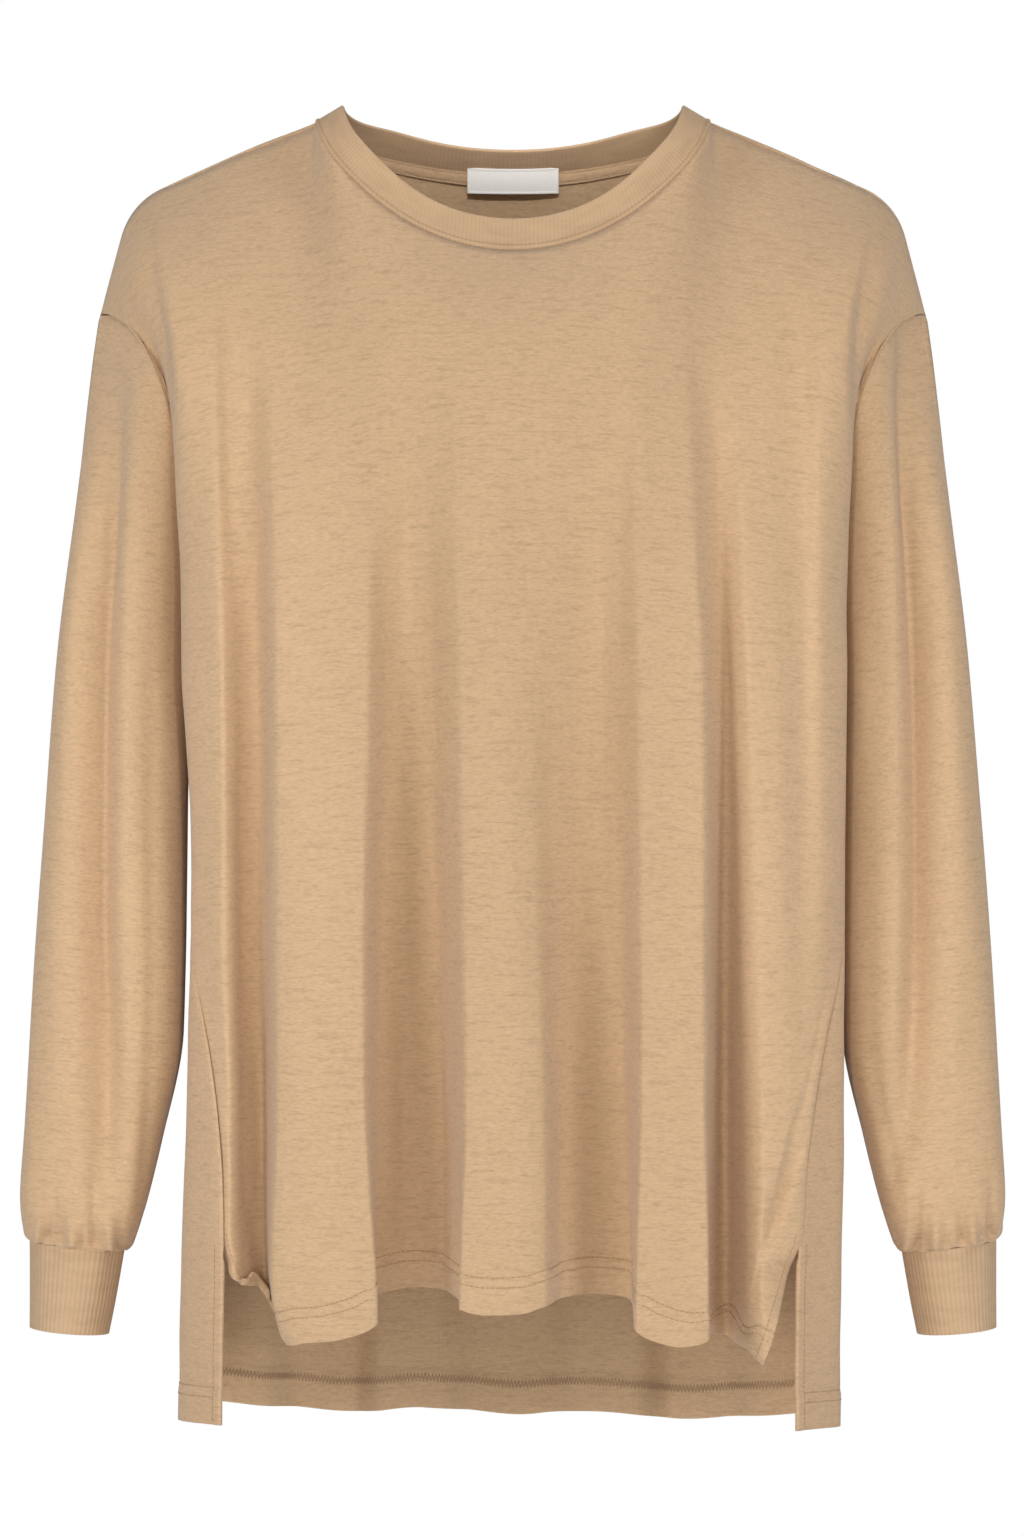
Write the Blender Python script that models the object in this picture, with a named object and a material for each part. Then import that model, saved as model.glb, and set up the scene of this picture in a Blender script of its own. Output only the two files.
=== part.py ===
"""A long-sleeved T-shirt with dropped shoulders, rib cuffs, a rib crew neck and side slits,
filled out as if worn, with the back cut longer than the front.

Everything is in metres, +Z up. The front of the shirt faces -Y and the wearer's left is +X.
The origin is between the shoulder seams, at the height of their neck ends.
Each piece that a maker cuts is one object: front, back, two sleeves, two cuffs, neck rib,
neck tape and neck label.
"""

import math

import bpy
import numpy as np

# Cloth
WALL = 0.0016  # jersey, as a solid wall
RIB_WALL = 0.0022  # rib knit, folded double
TAPE_WALL = 0.0010
LABEL_WALL = 0.0010
SEAM_GAP = 0.0004  # between two pieces at a seam

# Body: heights of its landmarks
SLIT_TOP = -0.660
UNDERARM = -0.315

# Shoulder seam, seen from the front: neck end, bend over the shoulder, end at the sleeve
NECK_HALF = 0.1165
NECK_TOP = 0.0028  # height of the neck end
RIDGE_Y = 0.010
SHOULDER_BEND = (0.2262, -0.0475)
ARMHOLE_TOP = (0.2442, -0.1140)
BEND_REACH = 0.021  # the bend is rounded over this length on each side
NECK_SHARE = 0.45  # share of a panel's half width that ends on the neckline
ARMHOLE_STEPS = 10  # points along the armhole seam, from the shoulder to the underarm

# Neckline
FRONT_NECK_DROP = 0.0825
BACK_NECK_DROP = 0.0226
NECK_CURVE = 0.7  # 0.5 is an ellipse, 1 a parabola
FRONT_NECK_CROWN = -0.052  # height that the chest would reach at the centre with no neck hole
BACK_NECK_CROWN = 0.025
RIB_HEIGHT = 0.0205
RIB_LEANS = {  # which way the rib stands up from its seam, as x (outwards), y, z
    "front": (0.0, 0.0080, 0.0200),
    "side": (-0.0160, 0.0, 0.0095),
    "back": (0.0, -0.0155, 0.0120),
}
TAPE_WIDTH = 0.0095
TAPE_BELOW = 0.0015  # how far under the neck seam the tape starts
TAPE_CLEAR = 0.0014  # from the back, whose facets bend between the tape's corners
LABEL_WIDTH = 0.0550
LABEL_ABOVE = 0.0065  # how far up the rib the label reaches from the neck seam
LABEL_BELOW = 0.0115
LABEL_CLEAR = (0.0008, 0.0085)  # from the rib, and from the back at its lower end, which hangs

# Facets
SHOULDER_COLUMNS = 10
SIDE_ROWS = 6  # from the slit to the underarm
LINE_STEPS = 48  # points that a section is drawn with before it is cut into columns


def table(columns, *rows):
    """A short table: each column's name with its values, one for each row."""
    return dict(zip(columns.split(), np.array(rows, float).T))


# Level sections of the body, from the back hem up. front and back are its depth at the centre
# line, front_corner and back_corner where the sides begin, recess how far the side is pressed
# in by the arm, sway a shift to one side, and the edges are where each panel ends, measured
# along the cloth from the front corner (less than 0 is on the front).
HEMS = {  # across is measured along the cloth from the centre line
    "front": table(
        "across  z",
        (-0.150, -0.7080),
        (-0.106, -0.7060),
        (-0.085, -0.6990),
        (-0.073, -0.6870),
        (-0.049, -0.6800),
        (-0.031, -0.6820),
        (-0.012, -0.6905),
        (0.017,  -0.6870),
        (0.041,  -0.6825),
        (0.058,  -0.6845),
        (0.072,  -0.6940),
        (0.086,  -0.7053),
        (0.106,  -0.7090),
        (0.114,  -0.7050),
        (0.128,  -0.7085),
        (0.150,  -0.7190),
    ),
    "back": table(
        "across  z",
        (-0.360, -0.7560),
        (-0.270, -0.7597),
        (-0.178, -0.7623),
        (-0.130, -0.7690),
        (-0.099, -0.7727),
        (-0.053, -0.7690),
        (-0.029, -0.7715),
        (0.005,  -0.7752),
        (0.046,  -0.7715),
        (0.072,  -0.7727),
        (0.101,  -0.7769),
        (0.158,  -0.7715),
        (0.270,  -0.7644),
        (0.360,  -0.7594),
    ),
}
BODY = table(
    "height  half_width front  front_corner back   back_corner recess sway    front_edge back_edge",
    (-0.780, 0.1915,    0.124, 0.045,       0.112, 0.040,      0.000, -.0024, -0.110,    -0.056),
    (-0.715, 0.1915,    0.124, 0.045,       0.112, 0.040,      0.000, -.0022, -0.083,    -0.056),
    (-0.660, 0.1912,    0.124, 0.046,       0.112, 0.042,      0.000, -.0012, -0.055,    -0.055),
    (-0.600, 0.1908,    0.123, 0.049,       0.111, 0.045,      0.001, 0.0008, -0.048,    -0.048),
    (-0.530, 0.1897,    0.122, 0.053,       0.110, 0.048,      0.004, 0.0020, -0.030,    -0.030),
    (-0.420, 0.1892,    0.121, 0.056,       0.109, 0.052,      0.010, 0.0030, 0.028,     0.028),
    (-0.315, 0.1928,    0.119, 0.058,       0.108, 0.056,      0.0068,0.0000, 0.068,     0.068),
    (-0.190, 0.1965,    0.115, 0.058,       0.107, 0.058,      0.005, 0.0000, 0.068,     0.068),
    (-0.150, 0.1975,    0.112, 0.056,       0.106, 0.060,      0.003, 0.0000, 0.068,     0.068),
)
FRONT_BOXINESS = 2.3  # 2 is an ellipse
BACK_BOXINESS = 2.5

# Rings of a sleeve from the armhole to the cuff, seen from the front: the outer and the inner
# point, the middle's depth and half the depth. round is 1 for a flat ring and more where the
# ring bends over the arm.
SLEEVE = table(
    "outer_x outer_z  inner_x inner_z  middle_y half_depth round",
    (0.2442, -0.1140, 0.1860, -0.3150, 0.010,   0.0500,    2.3),
    (0.2522, -0.1800, 0.1895, -0.3450, 0.010,   0.0525,    1.7),
    (0.2593, -0.2450, 0.1915, -0.3750, 0.009,   0.0545,    1.3),
    (0.2668, -0.3170, 0.1920, -0.4120, 0.007,   0.0550,    1.0),
    (0.2738, -0.4120, 0.1920, -0.4700, 0.004,   0.0550,    1.0),
    (0.2804, -0.5050, 0.1935, -0.5350, 0.000,   0.0520,    1.0),
    (0.2855, -0.5850, 0.2055, -0.5960, -0.004,  0.0470,    1.0),
    (0.2882, -0.6300, 0.2165, -0.6400, -0.007,  0.0415,    1.0),
    (0.2868, -0.6500, 0.2225, -0.6570, -0.008,  0.0365,    1.0),
    (0.2830, -0.6570, 0.2275, -0.6635, -0.008,  0.0305,    1.0),
)
CUFF = table(
    "outer_x outer_z  inner_x inner_z  middle_y half_depth round",
    (0.2830, -0.6570, 0.2275, -0.6635, -0.008,  0.0305,    1.0),
    (0.2832, -0.6850, 0.2325, -0.6910, -0.009,  0.0270,    1.0),
    (0.2834, -0.7085, 0.2369, -0.7125, -0.010,  0.0255,    1.0),
)

# The largest folds, which die away towards the sides. x runs from the fold's top to the hem; depth
# is at the hem, and more than 0 is a ridge; lean moves the ridge sideways as it comes forward, so
# that one flank is steep.
FRONT_FOLDS = table(
    "top_x  hem_x   top_z   half_width depth   lean",
    (-.134, -0.110, -0.200, 0.024,     0.009,  0.4),
    (-.062, -0.058, -0.220, 0.022,     -0.012, 0.0),
    (-.036, -0.008, -0.180, 0.024,     0.008,  0.0),
    (0.034, 0.045,  -0.300, 0.020,     -0.008, 0.0),
    (0.085, 0.086,  -0.180, 0.022,     0.010,  0.2),
    (0.122, 0.124,  -0.220, 0.018,     -0.009, 0.0),
)
BACK_FOLDS = table(
    "top_x  hem_x   top_z   half_width depth   lean",
    (-.120, -0.130, -0.200, 0.024,     -0.009, 0.0),
    (-.075, -0.080, -0.160, 0.026,     0.009,  0.2),
    (-.030, -0.030, -0.260, 0.022,     -0.008, 0.0),
    (0.015, 0.020,  -0.200, 0.026,     0.008,  -.2),
    (0.065, 0.070,  -0.240, 0.022,     -0.009, 0.0),
    (0.110, 0.118,  -0.180, 0.024,     0.009,  0.2),
)
FOLDS_FADE = (0.72, 0.95)  # shares of the half width

PANELS = {
    "front": {"sign": -1, "depth": "front", "corner": "front_corner", "edge": "front_edge",
              "boxiness": FRONT_BOXINESS, "crown": FRONT_NECK_CROWN, "drop": FRONT_NECK_DROP,
              "hem": HEMS["front"], "folds": FRONT_FOLDS,
              "flat_steps": 4, "neck_columns": 9, "slit_rows": 2},
    "back": {"sign": 1, "depth": "back", "corner": "back_corner", "edge": "back_edge",
             "boxiness": BACK_BOXINESS, "crown": BACK_NECK_CROWN, "drop": BACK_NECK_DROP,
             "hem": HEMS["back"], "folds": BACK_FOLDS,
             "flat_steps": 6, "neck_columns": 6, "slit_rows": 3},
}

COLOURS = {"jersey": (0.60, 0.41, 0.245), "rib": (0.56, 0.375, 0.22), "label": (0.85, 0.82, 0.77)}


def smooth(share):
    """From 0 to 1, with no jolt at either end."""
    share = np.clip(share, 0, 1)
    return share * share * (3 - 2 * share)


def read(rows, column, at, by="height"):
    """The table's column on a smooth curve through its rows."""
    keys, values = rows[by], rows[column]
    slopes = np.gradient(values, keys)
    i = np.clip(np.searchsorted(keys, at) - 1, 0, len(keys) - 2)
    span = keys[i + 1] - keys[i]
    u = np.clip((at - keys[i]) / span, 0, 1)
    return (
        (1 + 2 * u) * (1 - u) ** 2 * values[i]
        + u * (1 - u) ** 2 * span * slopes[i]
        + u * u * (3 - 2 * u) * values[i + 1]
        + u * u * (u - 1) * span * slopes[i + 1]
    )


def lengths(line):
    """How far along the line each of its points is."""
    return np.concatenate([[0], np.cumsum(np.linalg.norm(np.diff(line, axis=0), axis=1))])


def along(line, distances):
    """The points of the line at those distances from its start."""
    at = lengths(line)
    return np.stack([np.interp(distances, at, line[:, k]) for k in range(line.shape[1])], axis=1)


def armhole(side, turn):
    """The point of the armhole seam on the front (-1) or the back (1). turn is 0 at the shoulder
    and a quarter turn at the underarm."""
    (top_x, top_z), inner_x = ARMHOLE_TOP, SLEEVE["inner_x"][0]
    power = 2 / SLEEVE["round"][0]
    x = top_x - (top_x - inner_x) * math.sin(turn) ** power
    y = SLEEVE["middle_y"][0] + side * SLEEVE["half_depth"][0] * math.sin(2 * turn)
    z = UNDERARM + (top_z - UNDERARM) * max(math.cos(turn), 0) ** power
    return np.array([x, y, z])


def flat_turn(panel):
    """The place on the armhole seam above which the panel curves in to the shoulder."""
    return math.pi / 2 * (1 - panel["flat_steps"] / ARMHOLE_STEPS)


def quarter(panel, height):
    """A level line from the panel's centre to the corner where the side begins."""
    turn = np.linspace(0, math.pi / 2, LINE_STEPS)
    power = 2 / panel["boxiness"]
    deep, corner = read(BODY, panel["depth"], height), read(BODY, panel["corner"], height)
    x = read(BODY, "half_width", height) * np.sin(turn) ** power
    y = corner + (deep - corner) * np.cos(turn) ** power
    return np.stack([x, panel["sign"] * y], axis=1)


def side_line(height):
    """The level line along the side, from the front corner to the back one."""
    share = np.linspace(0, 1, LINE_STEPS)
    x = read(BODY, "half_width", height) - read(BODY, "recess", height) * np.sin(math.pi * share) ** 2
    front, back = read(BODY, "front_corner", height), read(BODY, "back_corner", height)
    return np.stack([x, -front + (front + back) * share], axis=1)


def low_line(panel, height):
    """A level line below the underarm, from the panel's centre to beyond its edge, and how far
    along it the edge is."""
    middle, side = quarter(panel, height), side_line(height)
    edge = read(BODY, panel["edge"], height)
    if panel["sign"] < 0:
        return np.concatenate([middle, side[1:]]), lengths(middle)[-1] + edge
    line = np.concatenate([middle, side[-2::-1], quarter(PANELS["front"], height)[-2::-1]])
    return line, lengths(middle)[-1] + lengths(side)[-1] - edge


def row_width(panel, height):
    """How wide half the panel is at that height, along the cloth."""
    return low_line(panel, height)[1]


def low_row(panel, height, shares):
    """Points across half a panel at a height below the underarm, from the centre to its edge."""
    line, edge = low_line(panel, height)
    return along(line, shares * edge)


def armhole_row(panel, turn, shares):
    """Points across half a panel at the height of a place on the armhole seam."""
    seam = armhole(panel["sign"], turn)
    middle = quarter(panel, seam[2])
    share = np.linspace(0, 1, LINE_STEPS)[1:]
    x = middle[-1, 0] + (seam[0] - middle[-1, 0]) * smooth(share)
    y = middle[-1, 1] + (seam[1] - middle[-1, 1]) * share
    line = np.concatenate([middle, np.stack([x, y], axis=1)])
    return along(line, shares * lengths(line)[-1])


def shoulder_line():
    """The shoulder seam seen from the front, from its neck end to the sleeve, as x and z."""
    neck, bend, end = (np.array(p) for p in ((NECK_HALF, NECK_TOP), SHOULDER_BEND, ARMHOLE_TOP))
    first, last = (bend - neck) / np.linalg.norm(bend - neck), (end - bend) / np.linalg.norm(end - bend)
    start, stop = bend - first * BEND_REACH, bend + last * BEND_REACH
    u = np.linspace(0, 1, LINE_STEPS)[:, None]
    curve = (1 - u) ** 2 * start + 2 * u * (1 - u) * bend + u * u * stop
    return np.concatenate([[neck], curve, [end]])


def neckline(panel, top, turn):
    """The neck seam on one panel, as x, the height the cloth would reach with no neck hole, and
    how far it has curved in. turn is 0 at the centre and a quarter turn at the shoulder."""
    height = NECK_TOP - (NECK_TOP + panel["drop"]) * np.cos(turn) ** (2 * NECK_CURVE)
    crown = NECK_TOP + (panel["crown"] - NECK_TOP) * np.cos(turn) ** 2
    return NECK_HALF * np.sin(turn), crown, np.arcsin(np.clip((height - top) / (crown - top), 0, 1))


def upper_row(panel, turn, shares):
    """Points across half a panel above its flat part, for a place on the armhole seam."""
    start = flat_turn(panel)
    row, top = 1 - turn / start, armhole(panel["sign"], start)[2]
    low = armhole_row(panel, start, shares)
    neck_x, crown, tilt = neckline(panel, top, math.pi / 2 * np.clip(shares / NECK_SHARE, 0, 1))
    ridge = shoulder_line()
    on_ridge = along(ridge, np.clip((shares - NECK_SHARE) / (1 - NECK_SHARE), 0, 1) * lengths(ridge)[-1])
    at_neck = shares <= NECK_SHARE
    top_x, top_z = np.where(at_neck, neck_x, on_ridge[:, 0]), np.where(at_neck, crown, on_ridge[:, 1])
    angle = row * np.where(at_neck, tilt, math.pi / 2)
    x = low[:, 0] + (top_x - low[:, 0]) * smooth(row)
    y = RIDGE_Y + (low[:, 1] - RIDGE_Y) * np.cos(angle)
    z = top + (top_z - top) * np.sin(angle)
    middle = quarter(panel, top)
    corner = lengths(middle)[-1] / lengths(np.concatenate([middle, [low[-1]]]))[-1]
    weight = np.clip((shares - corner) / (1 - corner), 0, 1) ** 2 * (1 - row**4)
    weight = np.where(shares < 1, weight, 1)[:, None]
    return np.stack([x, y, z], axis=1) * (1 - weight) + armhole(panel["sign"], turn) * weight


def fold_shift(rows, x, z, lowest):
    """How far the folds push the cloth sideways and outwards at those places."""
    across, outwards = np.zeros_like(x), np.zeros_like(x)
    for i in range(len(rows["top_x"])):
        fold = {name: values[i] for name, values in rows.items()}
        drop = np.clip((fold["top_z"] - z) / (fold["top_z"] - lowest), 0, 1)
        middle = fold["top_x"] + (fold["hem_x"] - fold["top_x"]) * drop
        amount = fold["depth"] * smooth(drop) * np.exp(-(((x - middle) / fold["half_width"]) ** 2))
        outwards += amount
        across += fold["lean"] * amount
    return across, outwards


def half_shares(panel):
    """Where the columns lie on half a panel, from 0 at its centre to 1 at its edge."""
    neck = np.linspace(0, NECK_SHARE, panel["neck_columns"] + 1)
    return np.concatenate([neck, np.linspace(NECK_SHARE, 1, SHOULDER_COLUMNS + 1)[1:]])


def panel_grid(panel):
    """The outer surface of the front or the back as rows of points, from the hem up."""
    half = half_shares(panel)
    shares, hand = np.concatenate([half[:0:-1], half]), np.repeat((-1, 1), (len(half) - 1, len(half)))
    widest = row_width(panel, panel["hem"]["z"][0])
    hem = read(panel["hem"], "z", shares * hand * widest, by="across")
    rows = []
    for step in np.linspace(0, 1, panel["slit_rows"] + 1):
        rows.append(hem + (SLIT_TOP - hem) * step)
    for height in np.linspace(SLIT_TOP, UNDERARM, SIDE_ROWS + 1)[1:-1]:
        rows.append(np.full_like(shares, height))
    grid = []
    for z in rows:
        flat = np.array([low_row(panel, height, share[None])[0] for height, share in zip(z, shares)])
        sway = read(BODY, "sway", z)
        grid.append(np.stack([flat[:, 0] * hand + sway, flat[:, 1], z], axis=1))
    for step in range(ARMHOLE_STEPS, -1, -1):
        turn = math.pi / 2 * step / ARMHOLE_STEPS
        if turn >= flat_turn(panel):
            flat = armhole_row(panel, turn, shares)
            points = np.column_stack([flat, np.full(len(flat), armhole(panel["sign"], turn)[2])])
        else:
            points = upper_row(panel, turn, shares)
        grid.append(points * np.stack([hand, hand**2, hand**2], axis=1))
    grid = np.array(grid)
    x, z = grid[..., 0].copy(), grid[..., 2].copy()
    fade = 1 - smooth((shares - FOLDS_FADE[0]) / (FOLDS_FADE[1] - FOLDS_FADE[0]))
    across, outwards = fold_shift(panel["folds"], x, z, hem.min())
    grid[..., 0] += across * fade
    grid[..., 1] += panel["sign"] * outwards * fade
    return grid


def ring_rows(rows, hand):
    """Rings of points round a sleeve or cuff, one for each row of its table. hand is 1 or -1."""
    turns = np.linspace(0, math.pi / 2, ARMHOLE_STEPS + 1)
    rings = []
    for i in range(len(rows["outer_x"])):
        ring = {name: values[i] for name, values in rows.items()}
        power = 2 / ring["round"]
        x = ring["outer_x"] + (ring["inner_x"] - ring["outer_x"]) * np.sin(turns) ** power
        z = ring["inner_z"] + (ring["outer_z"] - ring["inner_z"]) * np.cos(turns).clip(0) ** power
        halves = []
        for side in (-1, 1):
            y = ring["middle_y"] + side * ring["half_depth"] * np.sin(2 * turns)
            halves.append(np.stack([hand * x, y, z], axis=1))
        rings.append(np.concatenate([halves[0], halves[1][-2:0:-1]]))
    return np.array(rings)


def neck_rows():
    """Rings of points up the neck rib, from the neck seam."""
    seam, lean = [], []
    for name in ("front", "back"):
        panel = PANELS[name]
        turns = np.linspace(0, math.pi / 2, panel["neck_columns"] + 1)
        start = flat_turn(panel)
        low = armhole_row(panel, start, turns / (math.pi / 2) * NECK_SHARE)
        top = armhole(panel["sign"], start)[2]
        x, crown, tilt = neckline(panel, top, turns)
        y = RIDGE_Y + (low[:, 1] - RIDGE_Y) * np.cos(tilt)
        z = top + (crown - top) * np.sin(tilt)
        side = (np.sin(turns) ** 2)[:, None]
        half = np.stack([x, y, z], axis=1)
        up = np.array(RIB_LEANS[name]) * (1 - side) + np.array(RIB_LEANS["side"]) * side
        up = up / np.linalg.norm(up, axis=1, keepdims=True)
        if name == "back":
            half, up = half[-2::-1], up[-2::-1]
        seam.append(half)
        lean.append(up)
    seam, lean = np.concatenate(seam), np.concatenate(lean)
    mirror = np.array([-1, 1, 1])
    seam = np.concatenate([seam, seam[-2:0:-1] * mirror])
    lean = np.concatenate([lean, lean[-2:0:-1] * mirror])
    return np.array([seam + lean * distance for distance in (0, RIB_HEIGHT / 2, RIB_HEIGHT)])


def corner_indices(shape, closed):
    """The grid places at the four corners of every face."""
    rows, columns = shape
    i, j = np.meshgrid(range(rows - 1), range(columns if closed else columns - 1), indexing="ij")
    i, j = i.ravel(), j.ravel()
    k = (j + 1) % columns
    return [i * columns + j, i * columns + k, (i + 1) * columns + k, (i + 1) * columns + j]


def cloth_normals(pieces):
    """The outward direction at every point of every piece. Pieces that meet at a seam share it."""
    sums, points = [], []
    for piece in pieces.values():
        flat = piece["grid"].reshape(-1, 3)
        a, b, c, d = corner_indices(piece["grid"].shape[:2], piece["closed"])
        faces = np.cross(flat[c] - flat[a], flat[d] - flat[b]) * piece["sign"]
        total = np.zeros_like(flat)
        for corner in (a, b, c, d):
            np.add.at(total, corner, faces)
        sums.append(total)
        points.append(flat)
    points, sums = np.concatenate(points), np.concatenate(sums)
    places = np.unique(np.round(points, 5), axis=0, return_inverse=True)[1].ravel()
    shared = np.zeros_like(sums)
    np.add.at(shared, places, sums)
    normals = shared[places]
    normals /= np.linalg.norm(normals, axis=1, keepdims=True)
    starts = np.cumsum([0] + [piece["grid"][..., 0].size for piece in pieces.values()])
    return {
        name: normals[starts[n] : starts[n + 1]].reshape(piece["grid"].shape)
        for n, (name, piece) in enumerate(pieces.items())
    }


def pulled_in(grid, edges):
    """The grid with its named edges moved in by half the seam gap."""
    grid = grid.copy()
    for edge in edges:
        rim, inner = {
            "first_column": (np.s_[:, 0], np.s_[:, 1]),
            "last_column": (np.s_[:, -1], np.s_[:, -2]),
            "first_row": (np.s_[0], np.s_[1]),
            "last_row": (np.s_[-1], np.s_[-2]),
        }[edge]
        step = grid[inner] - grid[rim]
        grid[rim] += SEAM_GAP / 2 * step / np.linalg.norm(step, axis=-1, keepdims=True)
    return grid


def make_piece(name, piece, normals, material):
    """A closed cloth wall: the piece's grid outside, the same grid moved in by the wall's
    thickness inside, and rims between them."""
    outer = pulled_in(piece["grid"], piece["seams"])
    inner = outer - normals * piece["wall"]
    (rows, columns), closed = outer.shape[:2], piece["closed"]
    count = rows * columns
    a, b, c, d = corner_indices((rows, columns), closed)
    faces = [*zip(a, b, c, d), *zip(d + count, c + count, b + count, a + count)]
    rims = [[i for i in range(columns)], [(rows - 1) * columns + i for i in range(columns)][::-1]]
    if closed:
        rims = [[*rim, rim[0]] for rim in rims]
    else:
        right = [i * columns + columns - 1 for i in range(1, rows)]
        left = [i * columns for i in range(rows - 2, -1, -1)]
        rims = [[*rims[0], *right, *rims[1][1:], *left]]
    # A rim is split the same way on both sides of a seam, so that the two rims stay parallel.
    place = np.abs(outer[..., 0]).ravel() - outer[..., 2].ravel()
    for rim in rims:
        for i, j in zip(rim, rim[1:]):
            if place[i] > place[j]:
                faces += [(j, i, i + count), (j, i + count, j + count)]
            else:
                faces += [(j, i, j + count), (i, i + count, j + count)]
    if piece["sign"] < 0:
        faces = [face[::-1] for face in faces]
    mesh = bpy.data.meshes.new(name)
    points = np.concatenate([outer.reshape(-1, 3), inner.reshape(-1, 3)])
    mesh.from_pydata(points.tolist(), [], [tuple(int(i) for i in face) for face in faces])
    mesh.shade_smooth()
    mesh.materials.append(material)
    obj = bpy.data.objects.new(name, mesh)
    bpy.data.collections["t_shirt"].objects.link(obj)


def tape_piece(back, normals):
    """The tape along the inside of the back neck, laid on the back's inner face."""
    inner = back["grid"] - normals * WALL
    middle, reach = inner.shape[1] // 2, PANELS["back"]["neck_columns"] - 1
    top, below = inner[-1, middle - reach : middle + reach + 1], inner[-2, middle - reach : middle + reach + 1]
    down = (below - top) / np.linalg.norm(below - top, axis=1, keepdims=True)
    out = np.cross(np.gradient(top, axis=0), down)
    out /= np.linalg.norm(out, axis=1, keepdims=True)
    grid = [top + down * distance - out * TAPE_CLEAR for distance in (TAPE_BELOW, TAPE_BELOW + TAPE_WIDTH)]
    piece = {"grid": np.array(grid), "closed": False, "sign": 1, "wall": TAPE_WALL, "cloth": "jersey", "seams": ()}
    return piece, np.array([out, out])


def label_piece(back, rib, normals):
    """The label at the centre of the back neck, from the rib's inner face to below the tape."""
    centre = rib["grid"].shape[1] // 2
    rib_inner = (rib["grid"] - normals["neck_rib"] * RIB_WALL)[:, centre]
    back_inner = (back["grid"] - normals["back"] * WALL)[:, back["grid"].shape[1] // 2]
    ends = []
    for start, end, distance, clear in (
        (rib_inner[0], rib_inner[1], LABEL_ABOVE, LABEL_CLEAR[0]),
        (back_inner[-1], back_inner[-2], LABEL_BELOW, LABEL_CLEAR[1]),
    ):
        run = (end - start) / np.linalg.norm(end - start)
        inwards = np.array((0, -abs(run[2]), -abs(run[1])))
        ends.append(start + run * distance + inwards * clear)
    across = np.array([(x, 0, 0) for x in (-LABEL_WIDTH / 2, 0, LABEL_WIDTH / 2)])
    grid = np.array([end + across for end in ends])
    out = np.cross((1, 0, 0), ends[1] - ends[0])
    out = np.broadcast_to(out / np.linalg.norm(out), grid.shape)
    piece = {"grid": grid, "closed": False, "sign": 1, "wall": LABEL_WALL, "cloth": "label", "seams": ()}
    return piece, out


def make_material(name, colour):
    """Matt cloth of that colour."""
    material = bpy.data.materials.new(name)
    material.use_nodes = True
    shader = material.node_tree.nodes["Principled BSDF"]
    shader.inputs["Base Color"].default_value = (*colour, 1)
    shader.inputs["Roughness"].default_value = 0.9
    return material


def all_pieces():
    """Every piece of jersey and rib: its grid, which way its faces point, its wall, its cloth and
    the edges that are sewn to another piece."""
    pieces = {}
    for name, panel in PANELS.items():
        pieces[name] = {"grid": panel_grid(panel), "closed": False, "sign": -panel["sign"], "wall": WALL,
                        "cloth": "jersey", "seams": ("first_column", "last_column", "last_row")}
    for side, hand in (("left", 1), ("right", -1)):
        pieces[f"sleeve_{side}"] = {"grid": ring_rows(SLEEVE, hand), "closed": True, "sign": hand,
                                    "wall": WALL, "cloth": "jersey", "seams": ("first_row", "last_row")}
        pieces[f"cuff_{side}"] = {"grid": ring_rows(CUFF, hand), "closed": True, "sign": hand,
                                  "wall": RIB_WALL, "cloth": "rib", "seams": ("first_row",)}
    pieces["neck_rib"] = {"grid": neck_rows(), "closed": True, "sign": 1, "wall": RIB_WALL,
                          "cloth": "rib", "seams": ("first_row",)}
    return pieces


def main():
    """Builds the T-shirt."""
    for obj in list(bpy.data.objects):
        bpy.data.objects.remove(obj)
    bpy.context.scene.collection.children.link(bpy.data.collections.new("t_shirt"))
    cloth = {name: make_material(name, colour) for name, colour in COLOURS.items()}
    pieces = all_pieces()
    normals = cloth_normals(pieces)
    pieces["neck_tape"], normals["neck_tape"] = tape_piece(pieces["back"], normals["back"])
    pieces["neck_label"], normals["neck_label"] = label_piece(pieces["back"], pieces["neck_rib"], normals)
    for name, piece in pieces.items():
        make_piece(name, piece, normals[name], cloth[piece["cloth"]])


main()
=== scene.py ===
"""A long-sleeved T-shirt of slub jersey, filled out as if worn, with a rib neck and cuffs, a neck
tape, a blank label, side slits and twin-needle hems.

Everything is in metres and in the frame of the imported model: +Z up, the front towards -Y and the
wearer's left towards +X. Each sheet of cloth starts as a grid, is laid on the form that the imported
model has, gets the folds that hang in it, and is given its thickness last.
"""

from __future__ import annotations

import logging
import math
from dataclasses import dataclass, field
from enum import Enum

import bpy
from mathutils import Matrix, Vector
import numpy as np


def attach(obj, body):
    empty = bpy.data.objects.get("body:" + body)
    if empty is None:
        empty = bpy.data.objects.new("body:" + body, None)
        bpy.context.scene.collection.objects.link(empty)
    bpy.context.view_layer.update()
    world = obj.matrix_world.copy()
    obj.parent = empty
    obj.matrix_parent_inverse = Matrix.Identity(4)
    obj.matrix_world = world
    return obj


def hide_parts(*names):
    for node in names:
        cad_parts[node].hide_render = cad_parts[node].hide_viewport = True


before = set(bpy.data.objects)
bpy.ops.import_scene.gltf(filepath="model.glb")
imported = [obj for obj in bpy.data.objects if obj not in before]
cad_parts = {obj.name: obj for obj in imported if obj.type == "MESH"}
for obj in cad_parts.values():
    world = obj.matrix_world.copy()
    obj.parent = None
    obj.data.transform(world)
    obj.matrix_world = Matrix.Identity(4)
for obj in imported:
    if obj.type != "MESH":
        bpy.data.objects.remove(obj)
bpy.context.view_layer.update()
LOG = logging.getLogger("t_shirt")

Numbers = np.ndarray | float
Table = dict[str, np.ndarray]

# Body: heights of its landmarks
SLIT_TOP = -0.660
UNDERARM = -0.315

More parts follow.
